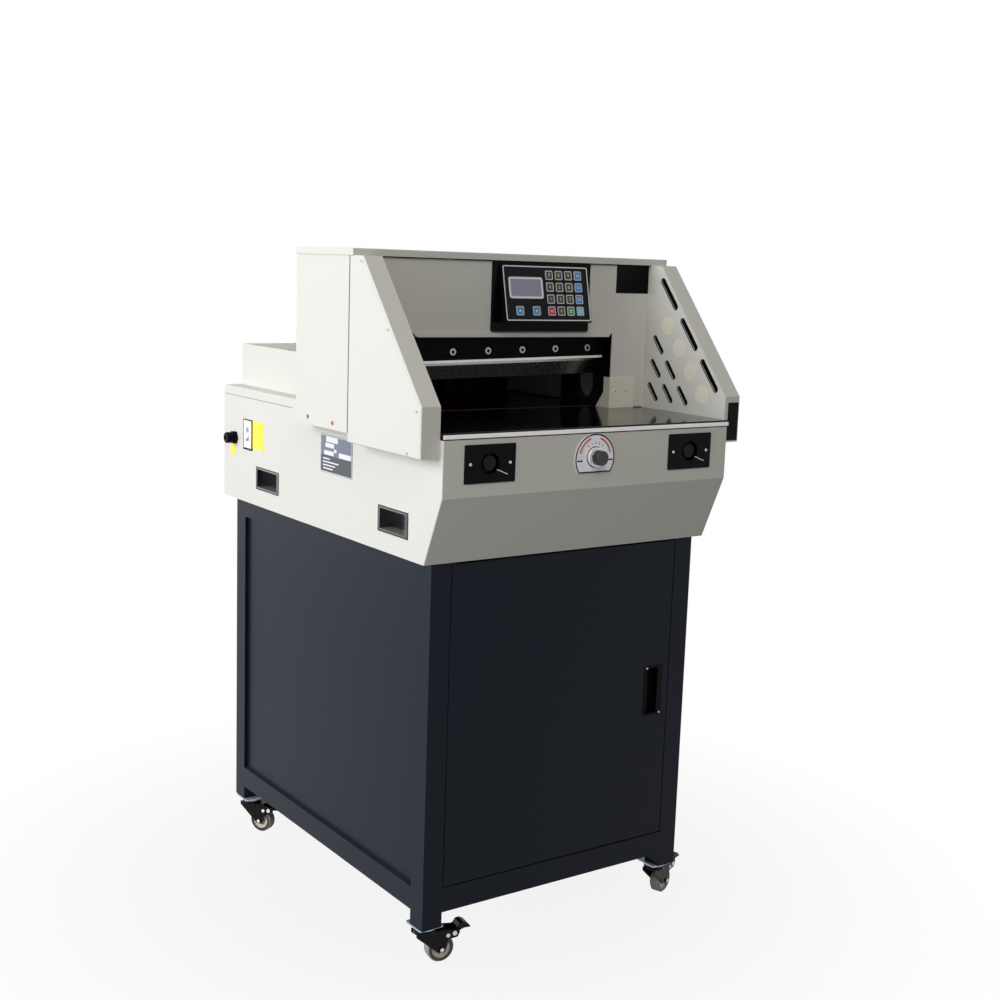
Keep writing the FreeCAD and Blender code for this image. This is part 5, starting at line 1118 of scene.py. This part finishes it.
def castor_trims(name):
    """Bolts on the fork and rings on both sides of the wheel of one castor."""
    side, y, turn = TURNS[name]
    swivel = (Matrix.Translation((side * SWIVEL_ACROSS, depth(y), 0))
              @ Matrix.Rotation(math.radians(turn), 4, "Z"))
    bolts, walls, dishes, hubs = (bmesh.new() for _ in range(4))
    for face, out in ((left_face, -1), (right_face, 1)):
        add_head(bolts, swivel @ face(out * 14.2 * MM, -39 * MM, 50 * MM), 4 * MM, 2.4 * MM, 0.5 * MM,
                 sides=6)
        add_head(bolts, swivel @ face(out * 14.2 * MM, -52 * MM, 52 * MM), 4.4 * MM, 2 * MM, 0.5 * MM,
                 sides=16)
        add_head(bolts, swivel @ face(out * 16.7 * MM, *AXLE), 3.6 * MM, 0.8 * MM, 0.3 * MM,
                 sides=16)
        add_ring(walls, swivel @ face(out * 9.8 * MM, *AXLE), 18 * MM, 22.5 * MM, 0.2 * MM)
        add_ring(dishes, swivel @ face(out * 7.8 * MM, *AXLE), 10.5 * MM, 16.5 * MM, 0.2 * MM)
        add_ring(hubs, swivel @ face(out * 10.5 * MM, *AXLE), 4.3 * MM, 9 * MM, 0.15 * MM)
    add_piece("castor_bolts_" + name, bolts, SCREW_ZINC, "castor_" + name)
    add_piece("wheel_walls_" + name, walls, SIDEWALL, "wheel_" + name)
    add_piece("wheel_dishes_" + name, dishes, WHEEL_DISH, "wheel_" + name)
    return add_piece("wheel_hubs_" + name, hubs, SCREW_ZINC, "wheel_" + name)


for castor in TURNS:
    print(castor_trims(castor).name)

# %% [markdown]
# ## Floor, light and camera
# A plain studio: a pale floor that is white to the camera and in reflections, and lets a little of its
# own grey through near the machine, so the shadow stays. The left side of the machine is bright and its
# front is in half shade, so a large soft lamp on the left does most of the work. A low one behind it
# lights the left rear, a weak one fills the front, a small one the top, and a faint sky the rest.

# %% Floor


def floor_finish():
    """Pale floor: a plain matt surface to the lamps, and nearly white where it is looked at."""
    material = finish("studio_floor", tone(132, 132, 132), 0.9, (3, 3, 3), 0.01, 0.02, 0.0)
    tree = material.node_tree
    place = tree.nodes.new("ShaderNodeTexCoord")
    away = tree.nodes.new("ShaderNodeVectorMath")
    away.operation = "LENGTH"
    tree.links.new(place.outputs["Object"], away.inputs[0])
    fade = tree.nodes.new("ShaderNodeMapRange")
    fade.inputs["From Min"].default_value = 0.4
    fade.inputs["From Max"].default_value = 1.1
    fade.inputs["To Min"].default_value = 0.88
    tree.links.new(away.outputs["Value"], fade.inputs["Value"])
    rays = tree.nodes.new("ShaderNodeLightPath")
    looked = math_node(tree, "MAXIMUM", rays.outputs["Is Camera Ray"],
                       rays.outputs["Is Transmission Ray"])
    looked = math_node(tree, "MAXIMUM", looked, rays.outputs["Is Glossy Ray"])
    share = math_node(tree, "MULTIPLY", looked, fade.outputs["Result"])
    white = tree.nodes.new("ShaderNodeEmission")
    white.inputs["Strength"].default_value = 1.0
    mix = tree.nodes.new("ShaderNodeMixShader")
    tree.links.new(share, mix.inputs[0])
    tree.links.new(tree.nodes["Principled BSDF"].outputs[0], mix.inputs[1])
    tree.links.new(white.outputs[0], mix.inputs[2])
    tree.links.new(mix.outputs[0], tree.nodes["Material Output"].inputs["Surface"])
    return material


def studio_floor():
    part = bmesh.new()
    bmesh.ops.create_grid(part, x_segments=1, y_segments=1, size=8)
    data = bpy.data.meshes.new("studio_floor")
    part.to_mesh(data)
    part.free()
    data.materials.append(floor_finish())
    floor = bpy.data.objects.new("studio_floor", data)
    bpy.context.collection.objects.link(floor)
    return floor


print(studio_floor().name)

# %% [markdown]
# A square area lamp gives soft edges to the shadows. Its power is in watts, and it shines along its own
# -Z, so it is turned to look at a point. The sky is white where it is looked at or mirrored, and only a
# weak light elsewhere: a Light Path node tells the two apart.

# %% Lamps


def lamp(name, place, target, size, power, color):
    """A soft square lamp that looks at a point."""
    light = bpy.data.lights.new(name, "AREA")
    light.size = size
    light.energy = power
    light.color = color
    holder = bpy.data.objects.new(name, light)
    holder.location = place
    holder.rotation_euler = (Vector(target) - Vector(place)).to_track_quat("-Z", "Y").to_euler()
    bpy.context.collection.objects.link(holder)
    return holder


lamp("left_window", (-4.2, 0.3, 2.0), (0, 0, 0.75), 3.0, 192, (0.965, 0.965, 1.0))
lamp("rear_window", (-2.8, 3.4, 0.9), (-0.3, 0, 0.4), 1.6, 22, (0.8, 0.9, 1.0))
lamp("front_fill", (-1.7, -3.5, 3.5), (0, 0, 0.95), 2.2, 68, (1.0, 0.985, 0.95))
lamp("top_fill", (-0.2, 0.6, 3.9), (0, 0, 1.0), 2.0, 12, (1.0, 1.0, 1.0))


def sky():
    """White to the camera and in reflections; a weak even light on surfaces."""
    world = bpy.data.worlds.new("sky")
    world.use_nodes = True
    tree = world.node_tree
    back = tree.nodes["Background"]
    rays = tree.nodes.new("ShaderNodeLightPath")
    seen = math_node(tree, "MAXIMUM", rays.outputs["Is Camera Ray"],
                     rays.outputs["Is Transmission Ray"])
    seen = math_node(tree, "MAXIMUM", seen, rays.outputs["Is Glossy Ray"])
    strength = math_node(tree, "ADD", math_node(tree, "MULTIPLY", seen, 0.88), 0.12)
    back.inputs["Color"].default_value = (1, 1, 1, 1)
    tree.links.new(strength, back.inputs["Strength"])
    bpy.context.scene.world = world
    return world


print(sky().name)

# %% [markdown]
# The camera stands before the left corner, level with the top of the machine, and looks a little down.
# Its right and its up are unit vectors, the plainest way to state a view that this script does not work out
# itself.

# %% Camera


def place_camera(position, right, up, lens):
    data = bpy.data.cameras.new("camera")
    data.lens = lens
    data.sensor_width = 36
    data.clip_end = 60
    camera = bpy.data.objects.new("camera", data)
    camera.matrix_world = facing(position, right, up)
    bpy.context.collection.objects.link(camera)
    bpy.context.scene.camera = camera
    return camera


CAMERA_RIGHT = (0.820447, -0.570730, 0.033675)
CAMERA_UP = (0.066401, 0.153624, 0.985896)
place_camera((-1.53522, -2.31082, 1.22384), CAMERA_RIGHT, CAMERA_UP, 51.41)
bpy.context.scene.view_settings.view_transform = "Standard"
print("camera:", bpy.context.scene.camera.name)
